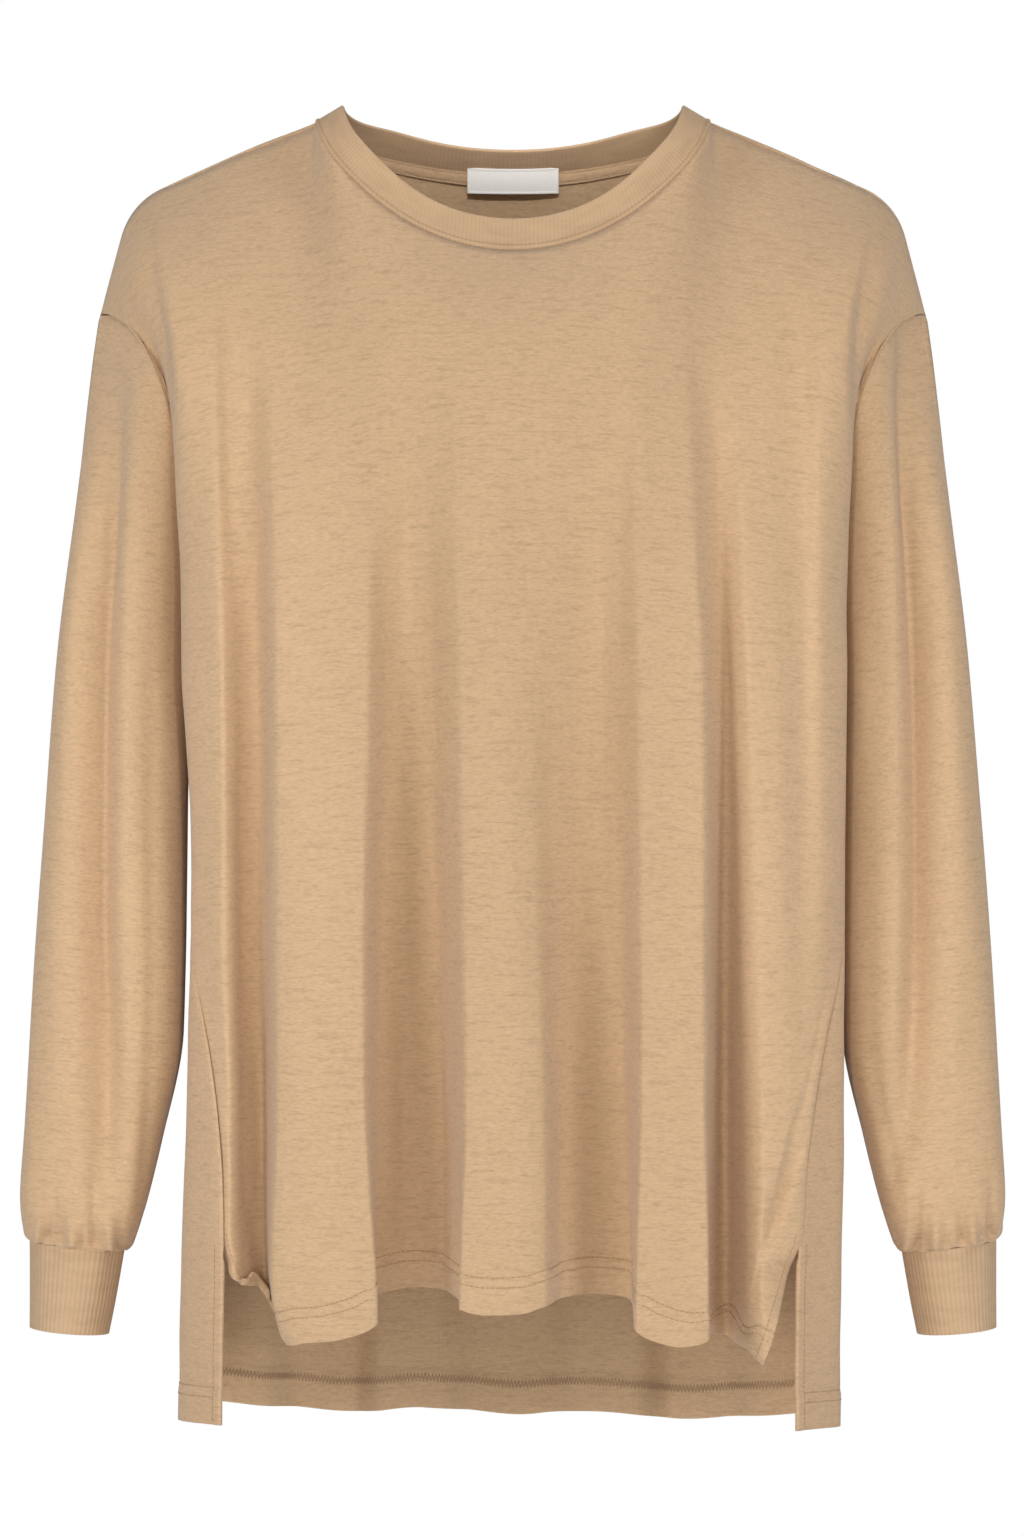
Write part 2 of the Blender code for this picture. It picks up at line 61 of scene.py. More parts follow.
# Shoulder seam, seen from the front: neck end, bend over the shoulder, end at the sleeve
NECK_HALF = 0.1165
NECK_TOP = 0.0028  # height of the neck end
RIDGE_Y = 0.010
SHOULDER_BEND = (0.2262, -0.0475)
ARMHOLE_TOP = (0.2442, -0.1140)
BEND_REACH = 0.021  # the bend is rounded over this length on each side
NECK_SHARE = 0.45  # share of a panel's half width that ends on the neckline

# Neckline
FRONT_NECK_DROP = 0.0825
BACK_NECK_DROP = 0.0226
NECK_CURVE = 0.7  # 0.5 is an ellipse, 1 a parabola
FRONT_NECK_CROWN = -0.052  # height that the chest would reach at the centre with no neck hole
BACK_NECK_CROWN = 0.025
RIB_HEIGHT = 0.0205
RIB_LEANS = {  # which way the rib stands up from its seam, as x (outwards), y, z
    "front": (0.0, 0.0080, 0.0200),
    "side": (-0.0160, 0.0, 0.0095),
    "back": (0.0, -0.0155, 0.0120),
}
LABEL_WIDTH = 0.0550
LABEL_ABOVE = 0.0065  # how far up the rib the label reaches from the neck seam
LABEL_BELOW = 0.0115
LABEL_CLEAR = (0.0008, 0.0085)  # from the rib, and from the back at its lower end, which hangs
LINE_STEPS = 96  # points that a section is drawn with before it is cut into columns


def table(columns: str, *rows: tuple[float, ...]) -> Table:
    """A short table.

    Args:
        columns: The columns' names.
        rows: Each row's values.

    Returns:
        Each column's name with its values.
    """
    return dict(zip(columns.split(), np.array(rows, float).T))


# Level sections of the body, from the back hem up. front and back are its depth at the centre
# line, front_corner and back_corner where the sides begin, recess how far the side is pressed
# in by the arm, sway a shift to one side, and the edges are where each panel ends, measured
# along the cloth from the front corner (less than 0 is on the front).
HEMS = {  # across is measured along the cloth from the centre line
    "front": table(
        "across  z",
        (-0.150, -0.7080),
        (-0.106, -0.7060),
        (-0.085, -0.6990),
        (-0.073, -0.6870),
        (-0.049, -0.6800),
        (-0.031, -0.6820),
        (-0.012, -0.6905),
        (0.017,  -0.6870),
        (0.041,  -0.6825),
        (0.058,  -0.6845),
        (0.072,  -0.6940),
        (0.086,  -0.7053),
        (0.106,  -0.7090),
        (0.114,  -0.7050),
        (0.128,  -0.7085),
        (0.150,  -0.7190),
    ),
    "back": table(
        "across  z",
        (-0.360, -0.7560),
        (-0.270, -0.7597),
        (-0.178, -0.7623),
        (-0.130, -0.7690),
        (-0.099, -0.7727),
        (-0.053, -0.7690),
        (-0.029, -0.7715),
        (0.005,  -0.7752),
        (0.046,  -0.7715),
        (0.072,  -0.7727),
        (0.101,  -0.7769),
        (0.158,  -0.7715),
        (0.270,  -0.7644),
        (0.360,  -0.7594),
    ),
}
BODY = table(
    "height  half_width front  front_corner back   back_corner recess sway    front_edge back_edge",
    (-0.780, 0.1915,    0.124, 0.045,       0.112, 0.040,      0.000, -.0024, -0.110,    -0.056),
    (-0.715, 0.1915,    0.124, 0.045,       0.112, 0.040,      0.000, -.0022, -0.083,    -0.056),
    (-0.660, 0.1912,    0.124, 0.046,       0.112, 0.042,      0.000, -.0012, -0.055,    -0.055),
    (-0.600, 0.1908,    0.123, 0.049,       0.111, 0.045,      0.001, 0.0008, -0.048,    -0.048),
    (-0.530, 0.1897,    0.122, 0.053,       0.110, 0.048,      0.004, 0.0020, -0.030,    -0.030),
    (-0.420, 0.1892,    0.121, 0.056,       0.109, 0.052,      0.010, 0.0030, 0.028,     0.028),
    (-0.315, 0.1928,    0.119, 0.058,       0.108, 0.056,      0.0068,0.0000, 0.068,     0.068),
    (-0.190, 0.1965,    0.115, 0.058,       0.107, 0.058,      0.005, 0.0000, 0.068,     0.068),
    (-0.150, 0.1975,    0.112, 0.056,       0.106, 0.060,      0.003, 0.0000, 0.068,     0.068),
)
FRONT_BOXINESS = 2.3  # 2 is an ellipse
BACK_BOXINESS = 2.5

# Rings of a sleeve from the armhole to the cuff, seen from the front: the outer and the inner
# point, the middle's depth and half the depth. round is 1 for a flat ring and more where the
# ring bends over the arm.
SLEEVE = table(
    "outer_x outer_z  inner_x inner_z  middle_y half_depth round",
    (0.2442, -0.1140, 0.1860, -0.3150, 0.010,   0.0500,    2.3),
    (0.2522, -0.1800, 0.1895, -0.3450, 0.010,   0.0525,    1.7),
    (0.2593, -0.2450, 0.1915, -0.3750, 0.009,   0.0545,    1.3),
    (0.2668, -0.3170, 0.1920, -0.4120, 0.007,   0.0550,    1.0),
    (0.2738, -0.4120, 0.1920, -0.4700, 0.004,   0.0550,    1.0),
    (0.2804, -0.5050, 0.1935, -0.5350, 0.000,   0.0520,    1.0),
    (0.2855, -0.5850, 0.2055, -0.5960, -0.004,  0.0470,    1.0),
    (0.2882, -0.6300, 0.2165, -0.6400, -0.007,  0.0415,    1.0),
    (0.2868, -0.6500, 0.2225, -0.6570, -0.008,  0.0365,    1.0),
    (0.2830, -0.6570, 0.2275, -0.6635, -0.008,  0.0305,    1.0),
)
CUFF = table(
    "outer_x outer_z  inner_x inner_z  middle_y half_depth round",
    (0.2830, -0.6570, 0.2275, -0.6635, -0.008,  0.0305,    1.0),
    (0.2832, -0.6850, 0.2325, -0.6910, -0.009,  0.0270,    1.0),
    (0.2834, -0.7085, 0.2369, -0.7125, -0.010,  0.0255,    1.0),
)


class Slot(Enum):
    """The record's material slots."""

    JERSEY = "jersey"
    RIB = "rib"
    LABEL = "label"


class Hand(Enum):
    """The wearer's left and right, as the sign of x."""

    LEFT = 1
    RIGHT = -1


@dataclass(frozen=True)
class Panel:
    """The outline of the front or the back.

    Args:
        sign: -1 for the front, 1 for the back.
        depth: The column of BODY with its depth at the centre.
        corner: The column with its depth where the side begins.
        edge: The column that says where it ends.
        boxiness: 2 is an ellipse.
        crown: The height that it would reach at the centre with no neck hole.
        drop: How far its neckline drops.
        flat_share: The share of the armhole below which it is flat.
        hem: Its hem's heights.
    """

    sign: int
    depth: str
    corner: str
    edge: str
    boxiness: float
    crown: float
    drop: float
    flat_share: float
    hem: Table


FRONT = Panel(-1, "front", "front_corner", "front_edge", FRONT_BOXINESS, FRONT_NECK_CROWN, FRONT_NECK_DROP,
              0.4, HEMS["front"])
BACK = Panel(1, "back", "back_corner", "back_edge", BACK_BOXINESS, BACK_NECK_CROWN, BACK_NECK_DROP,
             0.6, HEMS["back"])


def smooth(share: Numbers) -> Numbers:
    """From 0 to 1, with no jolt at either end.

    Args:
        share: How far along, which is held to 0 to 1.

    Returns:
        The eased share.
    """
    share = np.clip(share, 0, 1)
    return share * share * (3 - 2 * share)


def read(rows: Table, column: str, at: Numbers, by: str = "height") -> Numbers:
    """The table's column on a smooth curve through its rows.

    Args:
        rows: The table.
        column: The column to read.
        at: Where to read it.
        by: The column that at is measured in.

    Returns:
        The column's values there.
    """
    keys, values = rows[by], rows[column]
    slopes = np.gradient(values, keys)
    i = np.clip(np.searchsorted(keys, at) - 1, 0, len(keys) - 2)
    span = keys[i + 1] - keys[i]
    u = np.clip((at - keys[i]) / span, 0, 1)
    return (
        (1 + 2 * u) * (1 - u) ** 2 * values[i]
        + u * (1 - u) ** 2 * span * slopes[i]
        + u * u * (3 - 2 * u) * values[i + 1]
        + u * u * (u - 1) * span * slopes[i + 1]
    )


def lengths(line: np.ndarray) -> np.ndarray:
    """How far along the line each of its points is.

    Args:
        line: Points in order.

    Returns:
        Each point's distance along the line.
    """
    return np.concatenate([[0], np.cumsum(np.linalg.norm(np.diff(line, axis=0), axis=1))])


def along(line: np.ndarray, distances: np.ndarray) -> np.ndarray:
    """The points of the line at those distances from its start.

    Args:
        line: Points in order.
        distances: How far from the start.

    Returns:
        One point for each distance.
    """
    at = lengths(line)
    return np.stack([np.interp(distances, at, line[:, k]) for k in range(line.shape[1])], axis=1)


def armhole(side: int, turn: float) -> np.ndarray:
    """The point of the armhole seam on the front (-1) or the back (1). turn is 0 at the shoulder
    and a quarter turn at the underarm.

    Args:
        side: -1 for the front, 1 for the back.
        turn: The place round the seam, in radians.

    Returns:
        The point.
    """
    (top_x, top_z), inner_x = ARMHOLE_TOP, SLEEVE["inner_x"][0]
    power = 2 / SLEEVE["round"][0]
    x = top_x - (top_x - inner_x) * math.sin(turn) ** power
    y = SLEEVE["middle_y"][0] + side * SLEEVE["half_depth"][0] * math.sin(2 * turn)
    z = UNDERARM + (top_z - UNDERARM) * max(math.cos(turn), 0) ** power
    return np.array([x, y, z])


def flat_turn(panel: Panel) -> float:
    """The place on the armhole seam above which the panel curves in to the shoulder.

    Args:
        panel: The front or the back.

    Returns:
        The place, in radians.
    """
    return math.pi / 2 * (1 - panel.flat_share)


def quarter(panel: Panel, height: float) -> np.ndarray:
    """A level line from the panel's centre to the corner where the side begins.

    Args:
        panel: The front or the back.
        height: The level.

    Returns:
        Points as x and y.
    """
    turn = np.linspace(0, math.pi / 2, LINE_STEPS)
    power = 2 / panel.boxiness
    deep, corner = read(BODY, panel.depth, height), read(BODY, panel.corner, height)
    x = read(BODY, "half_width", height) * np.sin(turn) ** power
    y = corner + (deep - corner) * np.cos(turn) ** power
    return np.stack([x, panel.sign * y], axis=1)


def side_line(height: float) -> np.ndarray:
    """The level line along the side, from the front corner to the back one.

    Args:
        height: The level.

    Returns:
        Points as x and y.
    """
    share = np.linspace(0, 1, LINE_STEPS)
    x = read(BODY, "half_width", height) - read(BODY, "recess", height) * np.sin(math.pi * share) ** 2
    front, back = read(BODY, "front_corner", height), read(BODY, "back_corner", height)
    return np.stack([x, -front + (front + back) * share], axis=1)


def low_line(panel: Panel, height: float) -> tuple[np.ndarray, float]:
    """A level line below the underarm, from the panel's centre to beyond its edge, and how far
    along it the edge is.

    Args:
        panel: The front or the back.
        height: The level.

    Returns:
        The points, and the edge's distance along them.
    """
    middle, side = quarter(panel, height), side_line(height)
    edge = read(BODY, panel.edge, height)
    if panel.sign < 0:
        return np.concatenate([middle, side[1:]]), lengths(middle)[-1] + edge
    line = np.concatenate([middle, side[-2::-1], quarter(FRONT, height)[-2::-1]])
    return line, lengths(middle)[-1] + lengths(side)[-1] - edge


def row_width(panel: Panel, height: float) -> float:
    """How wide half the panel is at that height, along the cloth.

    Args:
        panel: The front or the back.
        height: The level.

    Returns:
        Half the width in metres.
    """
    return low_line(panel, height)[1]


def low_row(panel: Panel, height: float, shares: np.ndarray) -> np.ndarray:
    """Points across half a panel at a height below the underarm, from the centre to its edge.

    Args:
        panel: The front or the back.
        height: The level.
        shares: 0 at the centre and 1 at the edge.

    Returns:
        Points as x and y.
    """
    line, edge = low_line(panel, height)
    return along(line, shares * edge)


def armhole_row(panel: Panel, turn: float, shares: np.ndarray) -> np.ndarray:
    """Points across half a panel at the height of a place on the armhole seam.

    Args:
        panel: The front or the back.
        turn: The place on the armhole seam.
        shares: 0 at the centre and 1 at the edge.

    Returns:
        Points as x and y.
    """
    seam = armhole(panel.sign, turn)
    middle = quarter(panel, seam[2])
    share = np.linspace(0, 1, LINE_STEPS)[1:]
    x = middle[-1, 0] + (seam[0] - middle[-1, 0]) * smooth(share)
    y = middle[-1, 1] + (seam[1] - middle[-1, 1]) * share
    line = np.concatenate([middle, np.stack([x, y], axis=1)])
    return along(line, shares * lengths(line)[-1])


def shoulder_line() -> np.ndarray:
    """The shoulder seam seen from the front, from its neck end to the sleeve, as x and z.

    Returns:
        Points as x and z.
    """
    neck, bend, end = (np.array(p) for p in ((NECK_HALF, NECK_TOP), SHOULDER_BEND, ARMHOLE_TOP))
    first, last = (bend - neck) / np.linalg.norm(bend - neck), (end - bend) / np.linalg.norm(end - bend)
    start, stop = bend - first * BEND_REACH, bend + last * BEND_REACH
    u = np.linspace(0, 1, LINE_STEPS)[:, None]
    curve = (1 - u) ** 2 * start + 2 * u * (1 - u) * bend + u * u * stop
    return np.concatenate([[neck], curve, [end]])


def neckline(panel: Panel, top: float, turn: Numbers) -> tuple[Numbers, Numbers, Numbers]:
    """The neck seam on one panel, as x, the height the cloth would reach with no neck hole, and
    how far it has curved in. turn is 0 at the centre and a quarter turn at the shoulder.

    Args:
        panel: The front or the back.
        top: The height of its flat part.
        turn: The place round the neck, in radians.

    Returns:
        x, height and tilt.
    """
    height = NECK_TOP - (NECK_TOP + panel.drop) * np.cos(turn) ** (2 * NECK_CURVE)
    crown = NECK_TOP + (panel.crown - NECK_TOP) * np.cos(turn) ** 2
    return NECK_HALF * np.sin(turn), crown, np.arcsin(np.clip((height - top) / (crown - top), 0, 1))


def upper_row(panel: Panel, turn: float, shares: np.ndarray) -> np.ndarray:
    """Points across half a panel above its flat part, for a place on the armhole seam.

    Args:
        panel: The front or the back.
        turn: The place on the armhole seam.
        shares: 0 at the centre and 1 at the edge.

    Returns:
        Points as x, y and z.
    """
    start = flat_turn(panel)
    row, top = 1 - turn / start, armhole(panel.sign, start)[2]
    low = armhole_row(panel, start, shares)
    neck_x, crown, tilt = neckline(panel, top, math.pi / 2 * np.clip(shares / NECK_SHARE, 0, 1))
    ridge = shoulder_line()
    on_ridge = along(ridge, np.clip((shares - NECK_SHARE) / (1 - NECK_SHARE), 0, 1) * lengths(ridge)[-1])
    at_neck = shares <= NECK_SHARE
    top_x, top_z = np.where(at_neck, neck_x, on_ridge[:, 0]), np.where(at_neck, crown, on_ridge[:, 1])
    angle = row * np.where(at_neck, tilt, math.pi / 2)
    x = low[:, 0] + (top_x - low[:, 0]) * smooth(row)
    y = RIDGE_Y + (low[:, 1] - RIDGE_Y) * np.cos(angle)
    z = top + (top_z - top) * np.sin(angle)
    middle = quarter(panel, top)
    corner = lengths(middle)[-1] / lengths(np.concatenate([middle, [low[-1]]]))[-1]
    weight = np.clip((shares - corner) / (1 - corner), 0, 1) ** 2 * (1 - row**4)
    weight = np.where(shares < 1, weight, 1)[:, None]
    return np.stack([x, y, z], axis=1) * (1 - weight) + armhole(panel.sign, turn) * weight


# Folds. Each row is one line that a fold follows down the cloth: the pixel column it has in the
# photograph's frame at each of the six heights, how far the cloth stands out there, and how far it
# leans over sideways at the hem, in millimetres.
FOLD_HEIGHTS = (-0.700, -0.600, -0.480, -0.340, -0.220, -0.130)
FRONT_LINES = (
    ((196, 196, 196, 190, 185, 182), (0, 0, 0, 0, 0, 0), 0),
    ((226, 226, 222, 220, 212, 208), (4, 4, 3, 3, 2, 0), 0),
    ((241, 241, 238, 236, 228, 220), (-10, -17, -21, -15, -7, -2), 0),
    ((259, 259, 256, 254, 246, 236), (-31, -33, -29, -20, -10, -3), 1),
    ((277, 278, 276, 277, 272, 268), (6, 6, 5, 4, 3, 1), -3),
    ((320, 320, 320, 318, 316, 316), (11, 11, 9, 6, 4, 1), 0),
    ((366, 364, 362, 366, 364, 364), (9, 9, 8, 5, 2, 0), 5),
    ((380, 380, 380, 386, 388, 392), (-31, -31, -24, -12, -3, 0), -4),
    ((406, 406, 404, 406, 406, 408), (-47, -46, -35, -20, -7, 0), 0),
    ((442, 442, 436, 430, 426, 424), (-45, -43, -30, -15, -5, 0), 0),
    ((457, 457, 453, 446, 440, 440), (-17, -15, -8, -3, -1, 0), 3),
    ((466, 467, 466, 464, 460, 458), (6, 6, 6, 6, 4, 1), -3),
    ((515, 512, 505, 494, 490, 490), (9, 9, 8, 6, 4, 1), 0),
    ((545, 543, 536, 526, 522, 522), (4, 4, 2, 1, 1, 0), 0),
    ((562, 560, 556, 556, 552, 550), (-22, -21, -14, -8, -2, 0), 0),
    ((598, 594, 590, 598, 600, 602), (-38, -37, -28, -18, -6, 0), 0),
    ((626, 625, 622, 618, 620, 620), (-34, -31, -20, -9, -3, 0), 3),
    ((642, 642, 642, 643, 642, 642), (7, 7, 7, 6, 5, 1), -3),
    ((703, 704, 705, 702, 690, 684), (10, 10, 9, 7, 5, 1), 3),
    ((714, 716, 718, 717, 708, 702), (-28, -29, -22, -9, -2, 0), -2),
    ((728, 728, 728, 728, 720, 714), (-42, -41, -31, -16, -5, 0), 0),
    ((747, 747, 744, 740, 732, 728), (-11, -11, -7, -2, -1, 0), 0),
    ((766, 766, 762, 752, 744, 740), (4, 4, 4, 5, 3, 0), 0),
    ((790, 790, 784, 774, 766, 764), (5, 5, 5, 4, 2, 1), 0),
    ((810, 810, 808, 806, 806, 806), (4, 4, 2, -1, -3, -2), 0),
    ((828, 828, 828, 824, 824, 826), (3, 3, 3, 3, 2, 1), 0),
    ((848, 848, 848, 852, 858, 862), (0, 0, 0, 0, 0, 0), 0),
)
BACK_LINES = (
    ((200, 200, 200, 190, 185, 182), (0, 0, 0, 0, 0, 0), 0),
    ((262, 258, 256, 252, 250, 250), (-9, -9, -7, -5, -3, -1), 0),
    ((300, 298, 300, 300, 300, 300), (8, 8, 6, 4, 2, 1), 0),
    ((352, 350, 350, 345, 345, 345), (9, 9, 7, 4, 2, 0), 0),
    ((384, 382, 380, 380, 378, 378), (-6, -6, -5, -3, -1, 0), 0),
    ((430, 430, 428, 425, 425, 425), (-8, -7, -6, -3, -1, 0), 0),
    ((478, 476, 470, 470, 468, 468), (7, 7, 5, 4, 2, 1), 0),
    ((540, 540, 545, 545, 545, 545), (8, 8, 6, 4, 2, 1), 0),
    ((585, 583, 580, 578, 575, 575), (-7, -7, -6, -4, -2, 0), 0),
    ((632, 630, 630, 628, 625, 625), (-8, -7, -5, -3, -1, 0), 0),
    ((672, 672, 670, 668, 665, 665), (8, 8, 6, 4, 2, 1), 0),
    ((722, 720, 720, 718, 715, 715), (7, 7, 5, 3, 1, 0), 0),
    ((762, 762, 760, 760, 758, 758), (-8, -8, -7, -5, -3, -1), 0),
    ((810, 810, 805, 800, 800, 800), (3, 3, 3, 2, 1, 0), 0),
    ((845, 845, 848, 852, 858, 862), (0, 0, 0, 0, 0, 0), 0),
)
FOLD_DEPTH = 0.12  # how far the folds' lines are from the middle of the body, front to back
ABOVE_FOLDS = -0.045  # the height where the last fold has died out

# Where the front hem shows in the photograph's frame, from one slit to the other, as columns and rows.
FRONT_HEM = (
    (288, 1345), (310, 1344), (330, 1342), (352, 1336), (366, 1330), (376, 1322), (386, 1304), (399, 1300),
    (426, 1296), (450, 1298), (466, 1308), (492, 1315), (522, 1314), (543, 1308), (560, 1303), (585, 1301),
    (612, 1303), (630, 1312), (642, 1330), (661, 1341), (688, 1348), (702, 1346), (714, 1341), (737, 1346),
    (760, 1363),
)
HEM_Y = -0.128  # the depth at which the front hem hangs

# The front's creases: between the chest and each arm, a softer one over the left arm, and those that
# run down to the slits. Each has pixel rows, pixel columns, how deep it is there in millimetres, and
# how wide in pixels towards the arm and towards the chest.
FRONT_CREASES = (
    ((195, 230, 262, 306, 335, 365, 410, 450), (143, 149, 153, 158, 163, 166, 168, 170),
     (0, 1, 3.5, 9, 14, 16, 12, 0), (22, 5)),
    ((205, 235, 262, 300, 330, 362, 410, 450), (884, 874, 868, 861, 858, 857, 857, 857),
     (0, 1, 3.5, 9, 14, 16, 12, 0), (22, 5)),
    ((225, 275, 325, 345, 365, 400), (900, 899, 898, 898, 898, 898), (0, 4, 2, 0, 0, 0), (10, 10)),
    ((902, 1034, 1084, 1141, 1191, 1244, 1268), (191, 213, 222, 232, 241, 250, 251),
     (0, 0.8, 1, 1.5, 2, 3, 2), (3, 9)),
    ((895, 1000, 1097, 1130, 1178, 1232, 1255, 1299, 1330), (845, 825, 805, 793, 783, 771, 762, 754, 752),
     (0, 1, 2, 2.5, 2.5, 2, 1.5, 1, 0), (7, 2.5)),
    ((1110, 1135, 1175, 1217, 1273), (812, 808, 792, 775, 761), (0, 3, 4.5, 3.5, 0), (4, 9)),
)

# Where the front's slit edges run in the photograph, the wearer's right first: the share of the way
# from the slit's top to the hem's corner, and the pixel columns and rows there.
SLIT_EDGES = (
    ((0, 0.16, 0.30, 0.40, 0.48, 0.56, 0.66, 0.80, 0.92, 1),
     (226, 227, 231, 238, 245, 250, 259, 270, 278, 288),
     (1251, 1266, 1277, 1282, 1280, 1274, 1285, 1309, 1333, 1347)),
    ((0, 0.2, 0.4, 0.6, 0.8, 1), (794, 787, 782, 777, 771, 763), (1256, 1280, 1302, 1323, 1344, 1366)),
)
# Each soft fold at the back of a sleeve: where it is round the sleeve at the top and the end (0
# outer, 0.25 front, 0.5 inner, 0.75 back), how wide, how far out in millimetres, where it starts
# and stops.
SLEEVE_FOLDS = {
    Hand.RIGHT: ((0.70, 0.72, 0.05, -6.0, 0.1, 0.95), (0.86, 0.84, 0.05, 4.0, 0.1, 0.95)),
    Hand.LEFT: ((0.72, 0.70, 0.05, -6.0, 0.1, 0.95), (0.88, 0.85, 0.05, 4.0, 0.1, 0.95)),
}

# The creases down the front of each sleeve, as in FRONT_CREASES.
SLEEVE_CREASES = {
    Hand.RIGHT: (
        ((330, 420, 560, 700, 900, 1100, 1180, 1230), (114, 109, 103, 101, 101, 108, 108, 106),
         (0, 10, 16, 17, 17, 12, 7, 0), (21, 14)),
        ((600, 800, 1000, 1150, 1230), (150, 152, 152, 146, 142), (0, 1.2, 1.6, 2.2, 0), (8, 8)),
        ((420, 640, 860, 1040, 1160), (74, 62, 56, 60, 66), (0, -1.5, -1.2, -1.5, 0), (14, 14)),
    ),
    Hand.LEFT: (
        ((300, 350, 420, 560, 700, 900, 1000, 1100, 1200), (908, 912, 914, 916, 917, 918, 914, 908, 900),
         (0, 12, 16, 17, 17, 16, 13, 8, 0), (18, 13)),
        ((1000, 1100, 1160, 1220), (868, 878, 890, 896), (0, 2, 3, 0), (9, 9)),
        ((420, 640, 860, 1040, 1160), (938, 950, 960, 956, 950), (0, -1.5, -1.2, -1.5, 0), (14, 14)),
    ),
}

# The tucks where each sleeve is gathered into its cuff: pixel column, how wide in pixels, how far
# out and how long in millimetres.
SLEEVE_TUCKS = {
    Hand.RIGHT: (
        (38, 5, 3.4, 10), (46, 4, -5.7, 16), (54, 4, -4.3, 24), (61, 5, -5.2, 12), (72, 7, 2.8, 14),
        (83, 5, -2.8, 8), (94, 5, -5.7, 20), (101, 4, -3.4, 12), (110, 6, 3.1, 14), (120, 5, -3.4, 9),
    ),
    Hand.LEFT: (
        (907, 5, 2.8, 9), (917, 5, -6.2, 22), (926, 4, -3.4, 10), (936, 6, 2.8, 14), (946, 5, -3.1, 9),
        (963, 5, -5.2, 15), (973, 5, 2.8, 12), (981, 5, -3.1, 8), (992, 4, -5.2, 20),
    ),
}

# The photograph's frame: the column of the shirt's middle, the row level with the camera, the
# camera's height and distance, and how much a pixel covers at the middle of the shirt.
CENTRE_PIXEL = 513
EYE_PIXEL = 768
EYE_HEIGHT = -0.381
EYE_DISTANCE = 3.2
METRES_PER_PIXEL = 0.588e-3

# What shows of each sheet when it is laid flat: its two sides and its area, measured along the folds.
FLATS = {
    "front": ((0.75, 0.76), 0.39),
    "back": ((0.77, 0.80), 0.46),
    "sleeve": ((0.51, 0.55), 0.15),
    "cuff": ((0.184, 0.052), 0.0087),
}

# The tape's section: how far down from the neck seam each point is, and how far in from the back. It
# is sewn down along two of them.
TAPE_PROFILE = (
    (-0.0008, 0.0008), (0.0, 0.0013), (0.0009, 0.0012), (0.0014, 0.0009), (0.002, 0.0013), (0.0035, 0.0014),
    (0.005, 0.0014), (0.0065, 0.0013), (0.0071, 0.0009), (0.0077, 0.0012), (0.0085, 0.0011),
)
TAPE_SEWN = (3, 8)

# How sewing marks the cloth.
SEAM_GROOVE = 0.0007  # how deep the cloth dips at a seam
SEAM_REACH = 0.0022  # and how far from it
CALM = 0.02  # the cloth's uneven waves die out this near a seam
STITCH_SIDE = 0.0032  # from the neck seam to the topstitch on the rib
BAND_STEPS = 22  # places up the outside of a rib band
FINE_PITCH, FINE_LENGTH, FINE_RADIUS = 0.0027, 0.0022, 0.00022  # the neck's smaller stitches
ROUND = 6.28  # a whole turn, in radians
WAVE_BAND = 0.3142  # the wave texture's bands are this far apart at scale 1


def pixel_to_place(pixels: Numbers, depth: float, upright: bool = False) -> Numbers:
    """Where a pixel column or row of the photograph's frame is at some depth.

    Args:
        pixels: The columns, or the rows if upright.
        depth: The depth, as y.
        upright: Rows and not columns.

    Returns:
        x, or z if upright.
    """
    scale = METRES_PER_PIXEL * (EYE_DISTANCE + depth) / EYE_DISTANCE
    if upright:
        return EYE_HEIGHT - (pixels - EYE_PIXEL) * scale
    return (pixels - CENTRE_PIXEL) * scale


def even_curve(keys: np.ndarray, values: np.ndarray, at: np.ndarray) -> np.ndarray:
    """A smooth curve through values that never swings past them.

    Args:
        keys: Where the values are, rising.
        values: The values.
        at: Where to read the curve.

    Returns:
        The curve's values.
    """
    span = np.diff(keys)
    rise = np.diff(values) / span
    slope = np.zeros_like(values)
    same = rise[:-1] * rise[1:] > 0
    before, after = rise[:-1][same], rise[1:][same]
    slope[1:-1][same] = 2 * before * after / (before + after)
    i = np.clip(np.searchsorted(keys, at) - 1, 0, len(keys) - 2)
    u = np.clip((at - keys[i]) / span[i], 0, 1)
    return ((1 + 2 * u) * (1 - u) ** 2 * values[i] + u * (1 - u) ** 2 * span[i] * slope[i]
            + u * u * (3 - 2 * u) * values[i + 1] + u * u * (u - 1) * span[i] * slope[i + 1])


def grid_lengths(grid: np.ndarray, axis: int) -> np.ndarray:
    """How far each point of a grid is along its row (1) or its column (0).

    Args:
        grid: Points in rows and columns.
        axis: 1 along the rows, 0 along the columns.

    Returns:
        The distances from the first column or row.
    """
    steps = np.linalg.norm(np.diff(grid, axis=axis), axis=2)
    return np.concatenate([np.zeros_like(np.take(steps, [0], axis)), np.cumsum(steps, axis=axis)], axis=axis)


def grid_normals(grid: np.ndarray, sign: int, closed: bool) -> np.ndarray:
    """The outward direction at each point of a grid.

    Args:
        grid: Points in rows and columns.
        sign: Turns the directions round.
        closed: The last column meets the first.

    Returns:
        Directions of length 1.
    """
    if closed:
        wide = np.concatenate([grid[:, -2:-1], grid, grid[:, 1:2]], axis=1)
        across = (wide[:, 2:] - wide[:, :-2]) / 2
    else:
        across = np.gradient(grid, axis=1)
    normals = np.cross(across, np.gradient(grid, axis=0)) * sign
    return normals / np.maximum(np.linalg.norm(normals, axis=2, keepdims=True), 1e-12)


